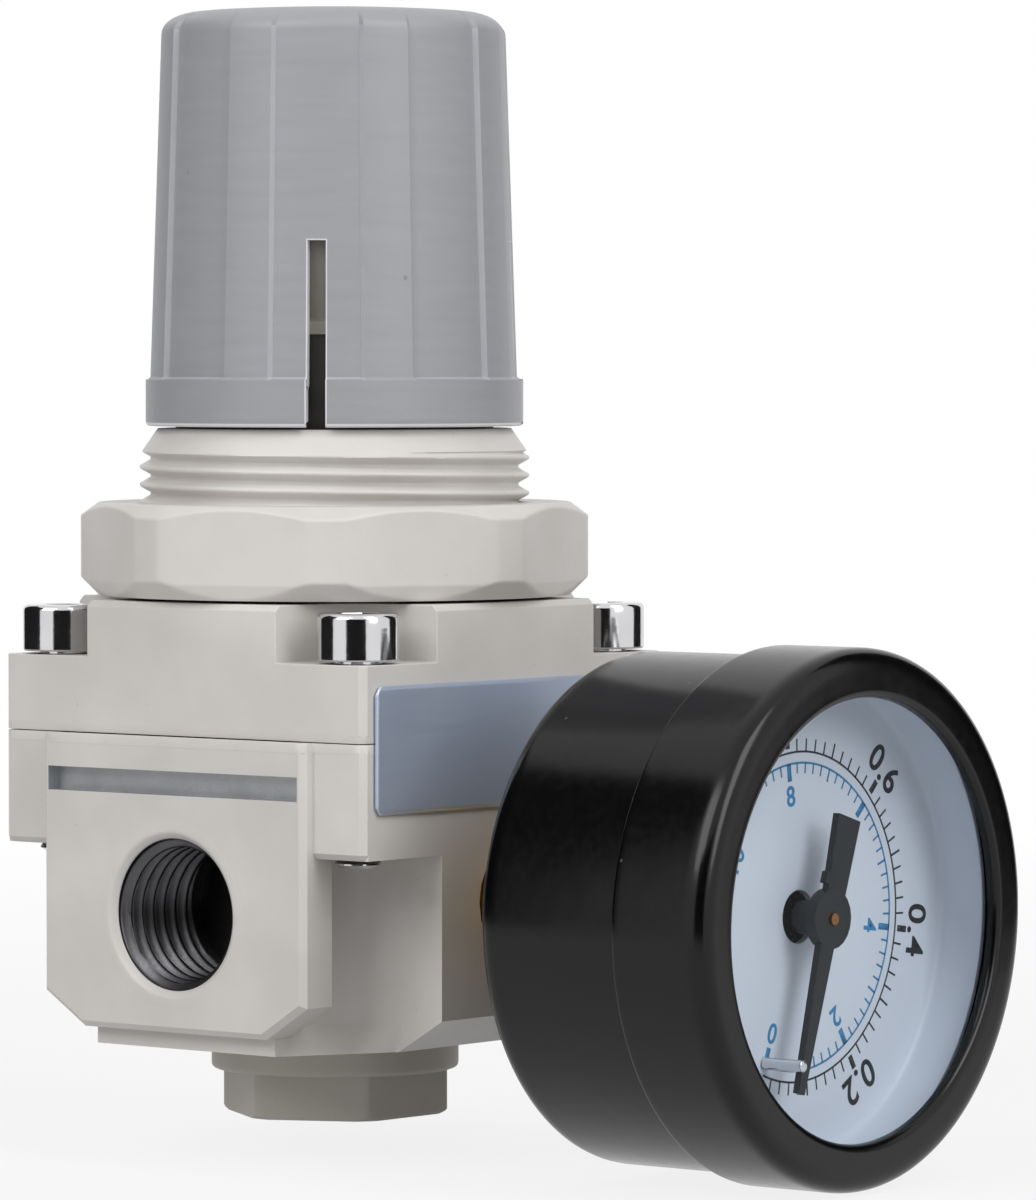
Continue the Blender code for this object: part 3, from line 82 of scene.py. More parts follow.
# The gauge's sizes, counted from the regulator's axis along the gauge's own
GAUGE_Z = 1.0
CASE_R = 21.05
CASE_SHEET = 0.6
BEZEL_GAP = 0.25
CASE_BACK = -cad("gauge_case")[1, 1]
CASE_FRONT = -cad("gauge_case")[0, 1]
CASE_ROUND = 1.6
CASE_HOLE_R = 5.7
BEZEL_R = cad("gauge_bezel")[1, 0]
BEZEL_BACK = -cad("gauge_bezel")[1, 1]
BEZEL_FRONT = -cad("gauge_bezel")[0, 1]
BEZEL_NOSE = 1.7
GLASS_R = BEZEL_R - 4.0
LIP_T = 1.0
DIAL_R = cad("gauge_dial")[1, 0]
DIAL_FACE = 49.0
DIAL_T = 0.6
DIAL_WALL = 0.45
DIAL_HOLE_R = 2.15

# The dial's print
SCALE_ZERO = -111.3  # degrees, anticlockwise from the right as seen from the front
SCALE_STEP = 51.94  # degrees between two outer numbers
SCALE_STEPS = 5
MINOR_PER_STEP = 10
OUTER_R = 13.35
INNER_R = 12.45
OUTER_TICKS = (1.05, 1.25, 1.55)  # lengths: minor, half way, numbered
INNER_TICKS = (0.85, 1.05, 1.4)
TICK_WIDTHS = (0.15, 0.17, 0.52)
OUTER_NUMBER_R = 16.35
INNER_NUMBER_R = 9.85
OUTER_NUMBER_H = 2.45
INNER_NUMBER_H = 1.7
NUMBER_STRETCH = 1.02
NUMBER_SPACING = 1.08
NUMBER_WEIGHT = 0.016  # how much bolder than the plain letters, as a share of their size
CIRCLE_W = 0.16
NUMBERED_START = 0.35  # gap between the outer circle and a numbered tick
PRINT_T = 0.03

# The pointer: where its rows stand along it and its two sides there, then its lower and upper level
POINTER_TURN = -106.5
BLADE = [(14.4, -0.42, 0.42), (0.0, -1.02, 1.02), (-2.3, -1.22, 1.22), (-8.4, -1.52, 1.52)]
NIB = [(-2.6, -1.7, -1.1), (-3.6, -1.62, -1.1)]
POINTER_LEVELS = (51.72, 52.38)

# The knob
KNOB_LOW, KNOB_TOP = cad("knob")[:, 2]
KNOB_R = cad("knob")[1, 0]
KNOB_BAND = 3.9
KNOB_BODY_R = 15.75
KNOB_TOP_R = 14.75
BAND_TOP = KNOB_LOW + KNOB_BAND
SHOULDER_LOW = KNOB_TOP - 1.9
SIDE_TOP = SHOULDER_LOW - 0.4  # where the side ends and its rounded shoulder starts
BAND_STEP = 0.25  # height of the step from the band to the side
BAND_LIP = 0.08  # where the painted highlight line on that step starts
KNOB_CROWN_R = 11.5
KNOB_CROWN_H = 0.4
KNOB_WALL = 1.3
PANELS = 8
PANEL_HALF = 15.0  # degrees
PANEL_DEPTH = 0.4
PANEL_FOOT = 0.15  # height of the slope at a panel's foot
PANEL_EDGE = 1.1  # degrees that a panel's side takes up
SLITS = 4
SLIT_W = 1.6
SLIT_TOP = KNOB_LOW + 15.5
SLIT_HALF = math.degrees(math.asin(SLIT_W / 2 / KNOB_BODY_R))
SLIT_LINE = 0.4  # degrees of the painted highlight line along a slit
SLIT_LINE_TOP = 0.1
KNOB_TURN = 214.6  # degrees

# The panel nut and the thread that it runs on
NUT_LOW, NUT_TOP = cad("panel_nut")[:, 2]
NUT_FLATS = 40.8
NUT_CORNER_R = 21.5
NUT_RIM_R = 20.0
NUT_TURN = 60.8  # degrees of the middle of one flat
NUT_TOP_CHAMFER = 1.1
NUT_BASE_CHAMFER = 1.5
NUT_LEAN, NUT_LEAN_H = 0.35, 1.25
NUT_BORE_R = 15.88
THREAD_PITCH = 1.5
THREAD_CREST_R = 16.5
THREAD_ROOT_R = 15.6
THREAD_INNER_R = 13.55
THREAD_HIDDEN = 1.6  # how far it goes on inside the nut
CREST_SPOT = (128.8, 35.35)  # degrees and height of a crest; crests fall as the angle grows
CONE_LOW, CONE_TOP = 38.05, 40.1
CONE_SLOPE = 0.69

# Castings, ports, screws, guide and label
HALF = cad("bonnet")[1, 0]
BODY_LOW, BODY_TOP = cad("body")[:, 2]
BONNET_LOW = cad("bonnet")[0, 2]
FLANGE_FACE = cad("body")[1, 0]
FLANGE_HALF = 14.4
FLANGE_CUT, CORNER_CUT = 0.9, 1.0  # rounding of their upright edges
JOINT_GAP = 0.08
JOINT_REACH = 0.8
JOINT_PROUD = 0.015  # how far the bands stand out of the castings
JOINT_ROUND = 0.05
JOINT_DEEP = 1.0
NECK_R = 14.2
NECK_FOOT, NECK_MIDDLE = 39.0, 46.0
SCREW_AT = abs(cad("bonnet_screw_1").mean(0)[0])
POCKET_R = 6.5
POCKET_FLOOR = -8.9
POCKET_OVERLAP = 0.05
BASE_INSET, BASE_CORNER = 0.7, 4.7  # how far the base's sides and corners lie inside the head
MOUTH_R = 8.0
MOUTH_BREAK = 0.55  # width of the mouth's broken edge
MOUTH_BACK = -1.2
PORT_ROOT_R = 6.3
PORT_SHEET = 0.5
PORT_TAPER = 0.03
PORT_DEPTH = 9.6
PORT_PITCH = 1.337
PORT_TOOTH = 0.7
GROOVE_LOW, GROOVE_HIGH = 9.9, 11.9
GROOVE_HALF = 13.7
GROOVE_DEPTH = 1.6
NEARBY = 0.05  # how far past a feature's edge a face still counts as its own
GUIDE_TURN = 27.0  # degrees of the middle of one flat of the hexagon
GUIDE_HEX = 17.0
GUIDE_WELL_R, GUIDE_WELL_FLOOR = 2.6, -9.6
GUIDE_SEAT_R, GUIDE_SEAT_DEPTH = 4.3, 2.7
GUIDE_BARREL_R = 7.2
GUIDE_FLANGE_R = 10.5
GUIDE_FLANGE_TOP, GUIDE_FLANGE_LOW = -11.55, -14.15
HEAD_H = 3.9
SHANK_R = 2.0
SCREW_PITCH = 0.7
SOCKET_FLATS = 3.0
SOCKET_DEPTH = 2.3
LABEL_CORNER = 0.7
LABEL_T = 0.12

# The diaphragm's radii and thickness, in mm
RUBBER_R = 14.2
RUBBER_HOLE_R = 2.3
RUBBER_T = 0.7
RIPPLE_AT_R = 10.45
RIPPLE_R = 1.1

# Light
AMBIENT = 0.45
FLAG_R = 250.0
LAMP_AIM = Vector((0, -0.015, 0.02))  # metres
FLOOR_HALF = 60  # metres
FLOOR_GAP = 0.2


# Colours and shader nodes

def srgb(text):
    """An sRGB hex colour as linear RGBA."""
    value = np.array([int(text[i:i + 2], 16) for i in (1, 3, 5)]) / 255
    linear = np.where(value <= 0.04045, value / 12.92, ((value + 0.055) / 1.055) ** 2.4)
    return (*linear.tolist(), 1.0)


def per_metre(size):
    """How often a pattern whose features are that many millimetres wide repeats in a metre."""
    return 1 / (size * MM)


def add(tree, kind, inputs=None, **settings):
    """Adds a node with its settings. Each input gets a value, or a link where it is a socket."""
    node = tree.nodes.new("ShaderNode" + kind)
    for key, value in settings.items():
        setattr(node, key, value)
    for key, value in (inputs or {}).items():
        if isinstance(value, bpy.types.NodeSocket):
            tree.links.new(value, node.inputs[key])
        else:
            node.inputs[key].default_value = value
    return node


def new_material(name):
    """A new node material and its tree."""
    material = bpy.data.materials.new(name)
    material.use_nodes = True
    return material, material.node_tree


def start_finish(name, **values):
    """A Principled material with uniform values on its own sockets, and its object coordinates."""
    material, tree = new_material(name)
    shader = tree.nodes["Principled BSDF"]
    for key, value in values.items():
        shader.inputs[key.replace("_", " ").title().replace("Ior", "IOR")].default_value = value
    place = add(tree, "TexCoord").outputs["Object"]
    return material, tree, shader, place


def link_in(tree, shader, **sockets):
    """Links pattern sockets to the shader's inputs of those names."""
    for key, socket in sockets.items():
        tree.links.new(socket, shader.inputs[key.replace("_", " ").title()])


def blend(tree, factor, low, high):
    """The colour between two hex colours, or sockets, that a factor picks."""
    pick = add(tree, "Mix", {0: factor}, data_type="RGBA")
    for key, value in ((6, low), (7, high)):
        if isinstance(value, str):
            pick.inputs[key].default_value = srgb(value)
        else:
            tree.links.new(value, pick.inputs[key])
    return pick.outputs[2]


def noise(tree, place, size, detail):
    """A noise whose features are that many millimetres wide."""
    return add(tree, "TexNoise", {"Vector": place, "Scale": per_metre(size),
                                  "Detail": detail}).outputs["Fac"]


def ranged(tree, value, low, high, start=0.0, end=1.0):
    """A value that goes from low to high while another goes from start to end."""
    return add(tree, "MapRange", {"Value": value, "From Min": start, "From Max": end,
                                  "To Min": low, "To Max": high}).outputs["Result"]


def specks(tree, place, spacing, edge, rim, strength):
    """Scattered specks: a share that falls from its strength at a speck's edge to 0 at its rim."""
    cells = add(tree, "TexVoronoi", {"Vector": place, "Scale": per_metre(spacing)})
    return ranged(tree, cells.outputs["Distance"], strength, 0.0, edge, rim)


def coated(made, colour, rough, relief=()):
    """Gives a started finish its colour, its roughness (pattern, lowest, highest) and perhaps its
    relief (pattern, strength, depth in mm)."""
    material, tree, shader, _ = made
    link_in(tree, shader, base_color=colour, roughness=ranged(tree, *rough))
    if relief:
        pattern, strength, depth = relief
        bump = add(tree, "Bump", {"Height": pattern, "Strength": strength, "Distance": depth * MM})
        link_in(tree, shader, normal=bump.outputs["Normal"])
    return material


def cream_coat():
    """Powder coat on a die casting: satin cream, with a fine peel and a faintly uneven film."""
    made = _, tree, _, place = start_finish("cream_powder_coat_on_die_casting", ior=1.5)
    film = ranged(tree, noise(tree, place, 11, 3.0), 0.0, 1.0, 0.35, 0.65)
    peel = noise(tree, place, 0.45, 2.0)
    pits = specks(tree, place, 3.2, 0.03, 0.055, 0.35)
    colour = blend(tree, pits, blend(tree, film, "#cbc7c3", "#d4d1cd"), "#b3afaa")
    return coated(made, colour, (peel, 0.38, 0.5), (peel, 0.18, 0.05))


def bare_casting():
    """Bare die-cast alloy where no coat reached: dull grey metal, grainy, a little bluish."""
    made = _, tree, _, place = start_finish("bare_die_cast_alloy", metallic=0.75)
    grain = noise(tree, place, 0.35, 4.0)
    colour = blend(tree, noise(tree, place, 3, 2.0), "#a6a9ac", "#c6c8cb")
    return coated(made, colour, (grain, 0.3, 0.55), (grain, 0.3, 0.06))


def knob_plastic():
    """Moulded acetal: mid grey, satin, with fine level flow lines round the knob and a few specks."""
    made = _, tree, _, place = start_finish("grey_moulded_acetal", ior=1.48)
    level = add(tree, "Mapping", {"Vector": place, "Scale": (0.12, 0.12, 1.0)})
    flow = noise(tree, level.outputs["Vector"], 0.9, 3.0)
    dust = specks(tree, place, 7, 0.02, 0.035, 0.6)
    colour = blend(tree, dust, blend(tree, flow, "#95969a", "#9fa0a4"), "#6f7074")
    return coated(made, colour, (flow, 0.36, 0.5), (noise(tree, place, 0.25, 1.0), 0.12, 0.04))


def guide_plastic():
    """Moulded polyamide: warm stone grey, rather dull, with a fine even grain."""
    made = _, tree, _, place = start_finish("stone_moulded_polyamide", ior=1.53)
    grain = noise(tree, place, 0.3, 2.0)
    colour = blend(tree, noise(tree, place, 6, 3.0), "#b6b1a8", "#c1bdb4")
    return coated(made, colour, (grain, 0.42, 0.6), (grain, 0.15, 0.05))


def metal(name, dark, light, grain_size, low, high, relief=0.02):
    """A bare or plated metal: two tones, a grain that roughens it, and a slight relief in mm."""
    made = _, tree, _, place = start_finish(name, metallic=1.0)
    grain = noise(tree, place, grain_size, 3.0)
    colour = blend(tree, noise(tree, place, 4, 2.0), dark, light)
    return coated(made, colour, (grain, low, high), (grain, 0.2, relief))


def brushed_foil():
    """Brushed aluminium foil: cool silver, its hair lines level and about 0.1 mm apart."""
    made = _, tree, _, place = start_finish("brushed_aluminium_foil", metallic=0.55)
    along = add(tree, "Mapping", {"Vector": place, "Scale": (0.02, 1.0, 1.0)})
    hair = noise(tree, along.outputs["Vector"], 0.12, 2.0)
    colour = blend(tree, noise(tree, place, 9, 1.0), "#b0bfd8", "#c3cde0")
    return coated(made, colour, (hair, 0.28, 0.5), (hair, 0.25, 0.01))


def black_enamel():
    """Stoved black enamel on pressed steel: deep gloss, faint waves, a few grains of dust."""
    made = _, tree, _, place = start_finish("stoved_black_enamel_on_steel", ior=1.5,
                                            specular_ior_level=0.3)
    dust = specks(tree, place, 4.5, 0.022, 0.035, 0.5)
    return coated(made, blend(tree, dust, "#060607", "#6c6a66"),
                  (noise(tree, place, 0.8, 3.0), 0.13, 0.24), (noise(tree, place, 7, 2.0), 0.25, 0.15))


def satin(name, dark, light, cloud_size, low, high, ior=1.5):
    """A plain satin surface, such as print, rubber or enamel: two close tones and a fine haze."""
    made = _, tree, _, place = start_finish(name, ior=ior)
    colour = blend(tree, noise(tree, place, cloud_size, 2.0), dark, light)
    return coated(made, colour, (noise(tree, place, 0.4, 2.0), low, high))


def clear_lens():
    """Clear moulded acrylic: seen straight through, with a gloss that grows towards its edge."""
    material, tree, shader, place = start_finish("clear_moulded_acrylic", ior=1.49)
    shader.inputs["Base Color"].default_value = srgb("#eef3f6")
    link_in(tree, shader, roughness=ranged(tree, noise(tree, place, 5, 2.0), 0.02, 0.06))
    clear = add(tree, "BsdfTransparent", {"Color": srgb("#f7f9fb")})
    facing = add(tree, "LayerWeight", {"Blend": 0.5}).outputs["Facing"]
    gloss = ranged(tree, facing, 0.01, 0.45, 0.45, 1.0)
    both = add(tree, "MixShader", {0: gloss, 1: clear.outputs[0], 2: shader.outputs[0]})
    tree.links.new(both.outputs[0], tree.nodes["Material Output"].inputs["Surface"])
    return material


FINISH = {
    "cast_body": cream_coat(),
    "knob_plastic": knob_plastic(),
    "guide_plastic": guide_plastic(),
    "plated_steel": metal("bright_nickel_plated_steel", "#c9c9cb", "#dedee0", 0.5, 0.06, 0.16),
    "zinc_steel": metal("zinc_plated_steel", "#a3a39d", "#b9b9b4", 0.4, 0.25, 0.42),
    "spring_steel": metal("drawn_spring_wire", "#7c7c80", "#929296", 0.3, 0.25, 0.4),
    "brass": metal("turned_brass", "#b8934a", "#cfa95c", 0.25, 0.18, 0.32),
    "bronze": metal("phosphor_bronze", "#a8713f", "#c08350", 0.25, 0.2, 0.35),
    "rubber": satin("moulded_nitrile_rubber", "#161616", "#1e1e1e", 3, 0.55, 0.7, 1.52),
    "black_enamel": black_enamel(),
    "dial_white": satin("white_enamelled_dial", "#e3e8f1", "#ebeff6", 8, 0.3, 0.42),
    "pointer_black": satin("matt_black_enamel", "#0f0f10", "#171718", 1.5, 0.4, 0.55),
    "lens_clear": clear_lens(),
    "foil": brushed_foil(),
}
BARE_ALLOY = bare_casting()
# Bare tapped metal, darkened further with painted shade for the inside of the ports.
TAPPED_METAL_AND_SHADE = metal("tapped_metal_and_painted_shade", "#3c3c3e", "#67676a", 0.35, 0.3, 0.5, relief=0.04)
# Painted shade: the bonnet's neck as seen through the knob's slits, dark on its lower half and half
# shaded on its upper half.
NECK_DEEP_SHADE = satin("neck_painted_deep_shade", "#2f2d27", "#3b3932", 4, 0.4, 0.6)
NECK_HALF_SHADE = satin("neck_painted_half_shade", "#7f7a71", "#8f8a81", 4, 0.4, 0.6)
# Painted highlights: lighter greys for the knob's panel sides and feet, and brighter ones for its slit
# and rim edges.
PANEL_SIDE_HIGHLIGHT = satin("acetal_step_painted_highlight", "#a6a7ac", "#b1b2b7", 2, 0.4, 0.5)
KNOB_EDGE_HIGHLIGHT = satin("acetal_edge_painted_highlight", "#d0d0d4", "#dedee2", 2, 0.4, 0.5)
PRINT_BLACK = satin("black_screen_print", "#15161a", "#1d1e22", 2, 0.4, 0.5)
PRINT_BLUE = satin("blue_screen_print", "#2f83b4", "#3a8fc0", 2, 0.4, 0.5)

for node in NODES.values():
    for holder in node.material_slots:
        holder.material = FINISH[holder.material.name.split(".")[0]]


# Shapes

def rounded(corners, closed=False, steps=6):
    """A profile from corners (radius, height, cut). Each corner c becomes the curve
    (1-t)^2 a + 2t(1-t) c + t^2 b, where a and b lie its cut away from it along its two sides, and
    straight runs get a point at least every STEP."""
    table = np.array(corners, float)
    corner, cuts = table[:, :2], table[:, 2:]
    back, ahead = np.roll(corner, 1, 0) - corner, np.roll(corner, -1, 0) - corner
    first = corner + cuts * back / np.linalg.norm(back, axis=1, keepdims=True)
    last = corner + cuts * ahead / np.linalg.norm(ahead, axis=1, keepdims=True)
    t = np.linspace(0, 1, steps)[None, :, None]
    curve = (1 - t) ** 2 * first[:, None] + 2 * t * (1 - t) * corner[:, None] + t ** 2 * last[:, None]
    points = curve.reshape(-1, 2)
    if closed:
        points = np.vstack([points, points[:1]])
    gap = np.linalg.norm(np.diff(points, axis=0), axis=1)
    points = points[np.concatenate([[True], gap > 1e-6])]
    run = np.concatenate([[0], np.cumsum(np.linalg.norm(np.diff(points, axis=0), axis=1))])
    counts = np.ceil(np.diff(run) / STEP).astype(int)
    share = np.concatenate([np.linspace(a, b, n, endpoint=False)
                            for a, b, n in zip(run[:-1], run[1:], counts)] + [run[-1:]])
    dense = np.stack([np.interp(share, run, points[:, 0]), np.interp(share, run, points[:, 1])], 1)
    return dense[:-1] if closed else dense


def about(radius, angle, height, axis="z", centre=(0, 0)):
    """Points at a radius, an angle in degrees and a height about an axis: the first coordinate is
    the centre's plus radius times cosine, the second the same with sine, the third the height.
    Axis x takes them as y, z, x and axis y as x, z, -y, so that heights count towards the gauge."""
    angle = np.radians(angle)
    first, second, height = np.broadcast_arrays(centre[0] + radius * np.cos(angle),
                                                centre[1] + radius * np.sin(angle), height)
    order = {"x": (height, first, second), "y": (first, -height, second), "z": (first, second, height)}
    return np.stack(order[axis], -1)


def quads(points, closed_rows=False, closed_columns=True):
    """The points of a grid as one list, and its cells: corners (i, j), (i, j+1), (i+1, j+1),
    (i+1, j), where the last row or column joins the first if it is closed."""
    rows, columns = points.shape[:2]
    i = np.arange(rows if closed_rows else rows - 1)[:, None]
    j = np.arange(columns if closed_columns else columns - 1)[None, :]
    below, beside = (i + 1) % rows, (j + 1) % columns
    cells = np.stack([i * columns + j, i * columns + beside, below * columns + beside,
                      below * columns + j], -1)
    return points.reshape(-1, 3), cells.reshape(-1, 4)


def full_turn(count=AROUND):
    """Even angles round an axis, in degrees."""
    return np.arange(count) * 360 / count


def turned(profile, axis="z", centre=(0, 0), closed=False, around=AROUND):
    """A profile of (radius, height) turned about an axis; a closed one makes a ring."""
    grid = about(profile[:, :1], full_turn(around), profile[:, 1:], axis, centre)
    return quads(grid, closed_rows=closed)


def placed(name, data):
    """A new object in the scene."""
    obj = bpy.data.objects.new(name, data)
    bpy.context.scene.collection.objects.link(obj)
    return obj


def dress(name, mesh, slot, replaces=(), finish=None, body="housing"):
    """A mesh as a piece: its finish, taken from the slot unless one is given, the nodes it stands for,
    which are hidden, and the body it rides on.
    """
    mesh.materials.clear()
    mesh.materials.append(finish or FINISH[slot])
    obj = placed(name, mesh)
    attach(obj, body)
    if replaces:
        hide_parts(*replaces)
    return obj


def smooth(mesh, limit):
    """Smooth shading, with edges sharper than the limit in degrees kept sharp."""
    mesh.shade_smooth()
    mesh.set_sharp_from_angle(angle=math.radians(limit))


def piece(name, parts, slot, replaces=(), finish=None, crisp=35, outward=True, body="housing"):
    """A piece from one or more (points in mm, faces) parts. Doubles are merged, so seams and poles
    close, faces are turned outwards, and edges sharper than the crisp angle stay sharp."""
    starts = np.cumsum([0] + [len(points) for points, _ in parts])
    points = np.vstack([part[0] for part in parts]) * MM
    faces = [face for start, part in zip(starts, parts) for face in (part[1] + start).tolist()]
    mesh = bpy.data.meshes.new(name)
    mesh.from_pydata(points.tolist(), [], faces)
    bm = bmesh.new()
    bm.from_mesh(mesh)
    bmesh.ops.remove_doubles(bm, verts=bm.verts, dist=0.001 * MM)
    bmesh.ops.dissolve_degenerate(bm, edges=bm.edges, dist=0.0005 * MM)
    if outward:
        bmesh.ops.recalc_face_normals(bm, faces=bm.faces)
    bm.to_mesh(mesh)
    bm.free()
    smooth(mesh, crisp)
    return dress(name, mesh, slot, replaces, finish, body)


def modifier(obj, kind, **settings):
    """Adds a live modifier with its settings."""
    change = obj.modifiers.new(kind.lower(), kind)
    for key, value in settings.items():
        setattr(change, key, value)


def bevel(obj, width, segments=2, limit=50):
    """Rounds every edge sharper than the limit in degrees to a width in mm."""
    modifier(obj, "BEVEL", width=width * MM, segments=segments, limit_method="ANGLE",
             angle_limit=math.radians(limit), harden_normals=True)


def thicken(obj, thickness, **settings):
    """Gives an open sheet its thickness in mm, behind the faces that are drawn."""
    modifier(obj, "SOLIDIFY", thickness=thickness * MM, offset=-1.0, **settings)


def softened(node, name, slot, width, segments=3, limit=33, body="housing"):
    """A copy of a CAD node that replaces it: triangles merged into flat faces, and every edge
    sharper than the limit rounded to a width in mm, as casting and moulding leave it."""
    mesh = NODES[node].data.copy()
    mesh.name = name
    bm = bmesh.new()
    bm.from_mesh(mesh)
    bmesh.ops.remove_doubles(bm, verts=bm.verts, dist=0.001 * MM)
    bmesh.ops.dissolve_limit(bm, angle_limit=math.radians(1), verts=bm.verts, edges=bm.edges)
    bm.to_mesh(mesh)
    bm.free()
    smooth(mesh, limit)
    obj = dress(name, mesh, slot, [node], body=body)
    bevel(obj, width, segments, limit)
    return obj


def polygon_radius(angle, flats, corners, turn):
    """The radius of a regular outline at an angle: half its size across flats over the cosine of
    the angle from the middle of the nearest flat."""
    share = 360 / corners
    offset = (angle - turn + share / 2) % share - share / 2
    return flats / 2 / np.cos(np.radians(offset))


def least(*radii, blend_mm=0.07):
    """The smallest of several radii, with the meeting edges rounded: minus s ln of the sum of
    exp(-r/s), where s is the blend."""
    stack = np.stack(np.broadcast_arrays(*radii)) / -blend_mm
    top = stack.max(0)
    return -blend_mm * (top + np.log(np.exp(stack - top).sum(0)))


def between(first, last, count):
    """Rows of points from one row to another, both left out."""
    share = np.linspace(0, 1, count + 2)[1:-1, None, None]
    return first * (1 - share) + last * share


# Body and bonnet

def paint_by_place(obj, finishes, place):
    """Gives the faces of a copied node other finishes: place takes the faces' centres in mm and
    returns, for each, the number of its finish."""
    for finish in finishes:
        obj.data.materials.append(finish)
    centres = np.zeros(len(obj.data.polygons) * 3)
    obj.data.polygons.foreach_get("center", centres)
    numbers = place(centres.reshape(-1, 3) / MM)
    obj.data.polygons.foreach_set("material_index", numbers.astype(np.int32))


def bare_places(centre):
    """1 inside the clamp grooves and 2 inside the ports, where no coat reached, else 0. The ports'
    bare metal is darkened with painted shade.
    """
    x, y, z = centre.T
    depth = FLANGE_FACE - np.abs(x)
    groove = (depth > NEARBY) & (depth < GROOVE_DEPTH) & (np.abs(y) < GROOVE_HALF + NEARBY)
    groove &= (z > GROOVE_LOW - NEARBY) & (z < GROOVE_HIGH + NEARBY)
    port = (np.hypot(y, z) < PORT_ROOT_R + 0.25) & (depth > 0.6)
    return np.where(port, 2, groove.astype(int))


def neck_shade_places(centre):
    """Painted shade on the neck inside the knob: 1 for the deep shade on its lower half, 2 for the
    lighter half shade on its upper half, and 0 elsewhere.
    """
    x, y, z = centre.T
    neck = (z > NECK_FOOT) & (np.hypot(x, y) < NECK_R)
    return neck.astype(int) + (neck & (z > NECK_MIDDLE))


def make_castings():
    """Body and bonnet with soft edges, bare where no coat reached, darkened with painted shade inside
    the ports, and with painted shade on the neck inside the knob.
    """
    body = softened("body", "body_casting", "cast_body", 0.35)
    # Bare metal in the grooves, and in the ports darkened with painted shade.
    paint_by_place(body, [BARE_ALLOY, TAPPED_METAL_AND_SHADE], bare_places)
    bonnet = softened("bonnet", "bonnet_casting", "cast_body", 0.35)
    # Painted shade on the neck inside the knob.
    paint_by_place(bonnet, [NECK_DEEP_SHADE, NECK_HALF_SHADE], neck_shade_places)


def make_joint():
    """Two bands that bring the castings' faces close to each other at their joint. Each row is the
    plan outline times 1 + offset / half the width, so that its faces move by the offset."""
    square = [(x * HALF, y * HALF, CORNER_CUT) for x, y in ((1, 1), (-1, 1), (-1, -1), (1, -1))]
    quarter = [(FLANGE_FACE, FLANGE_HALF, FLANGE_CUT), (HALF, FLANGE_HALF, 0.1),
               (HALF, HALF, CORNER_CUT)]
    left = [(-x, y, cut) for x, y, cut in quarter[::-1]]
    flanged = quarter + left + [(x, -y, cut) for x, y, cut in left[::-1] + quarter[::-1]]
    middle = (BODY_TOP + BONNET_LOW) / 2
    for name, plan, way in (("body_joint", flanged, -1), ("bonnet_joint", square, 1)):
        outline = rounded(plan, closed=True)
        edge = middle + way * JOINT_GAP / 2
        end = edge + way * JOINT_REACH
        rows = [(JOINT_PROUD, end), (JOINT_PROUD, edge + way * JOINT_ROUND),
                (0.0, edge + way * JOINT_PROUD), (-JOINT_ROUND, edge), (-JOINT_DEEP, edge),
                (-JOINT_DEEP, end)]
        grid = np.stack([np.column_stack([outline * (1 + offset / HALF),
                                          np.full(len(outline), height)]) for offset, height in rows])
        piece(name, [quads(grid, closed_rows=True)], "cast_body")


def make_pocket_floors():
    """The sloped floor at the foot of each corner pocket. Its rows follow the pocket's wall; each is
    a triangle from the wall at the floor's height down to the straight line that ends the base."""
    radius = POCKET_R + POCKET_OVERLAP
    arc = about(radius, np.linspace(270, 180, 21), 0, centre=(SCREW_AT, SCREW_AT))[:, :2]
    near, far, cut = SCREW_AT - radius, HALF - BASE_INSET, HALF - BASE_CORNER
    wall = np.vstack([[far, near], arc, [near, far]])
    share = np.linspace(0, 1, len(wall))[:, None]
    line = (1 - share) * [far, near] + share * [near, cut]
    foot = np.minimum(wall, [far, cut])
    corners = np.stack([np.column_stack([points, np.full(len(wall), height)]) for points, height in (
        (wall, POCKET_FLOOR), (line, BODY_LOW), (foot, BODY_LOW))], 1)
    parts = [quads(corners * [sx, sy, 1]) for sx in (-1, 1) for sy in (-1, 1)]
    piece("pocket_floors", parts, "cast_body", crisp=25)


def helix(angle, height, low, pitch, hand=-1):
    """The tooth height, 0 to 1, of a thread at an angle and a height: the distance from the
    middle of its groove as a share of half a pitch, stretched and cut to a narrow crest and root."""
    turn = (height - low) / pitch + hand * angle / 360
    return np.clip(np.abs(turn % 1 * 2 - 1) * 1.5 - 0.25, 0, 1)


def make_panel_thread():
    """The bonnet's panel thread: radius = root + tooth up to the foot of its cone, then the cone's
    crest radius less its slope times the height above the foot."""
    angle = full_turn()
    low = NUT_TOP - THREAD_HIDDEN
    height = np.append(np.arange(low, CONE_TOP, THREAD_PITCH / 14), CONE_TOP)[:, None]
    tooth = helix(angle - CREST_SPOT[0], height, CREST_SPOT[1], THREAD_PITCH, hand=1)
    tooth = np.maximum(tooth, np.clip((height - CONE_LOW) / 0.15, 0, 1))
    radius = THREAD_ROOT_R + (THREAD_CREST_R - THREAD_ROOT_R) * tooth
    cone = THREAD_CREST_R - 0.1 - CONE_SLOPE * (height - CONE_LOW)
    radius = least(radius, cone, blend_mm=0.04)
    outside = about(radius, angle, height)
    inside = about(THREAD_INNER_R + 0 * radius[::-1], angle, height[::-1])
    piece("panel_thread", [quads(np.concatenate([outside, inside]), closed_rows=True)],
          "cast_body", crisp=60)


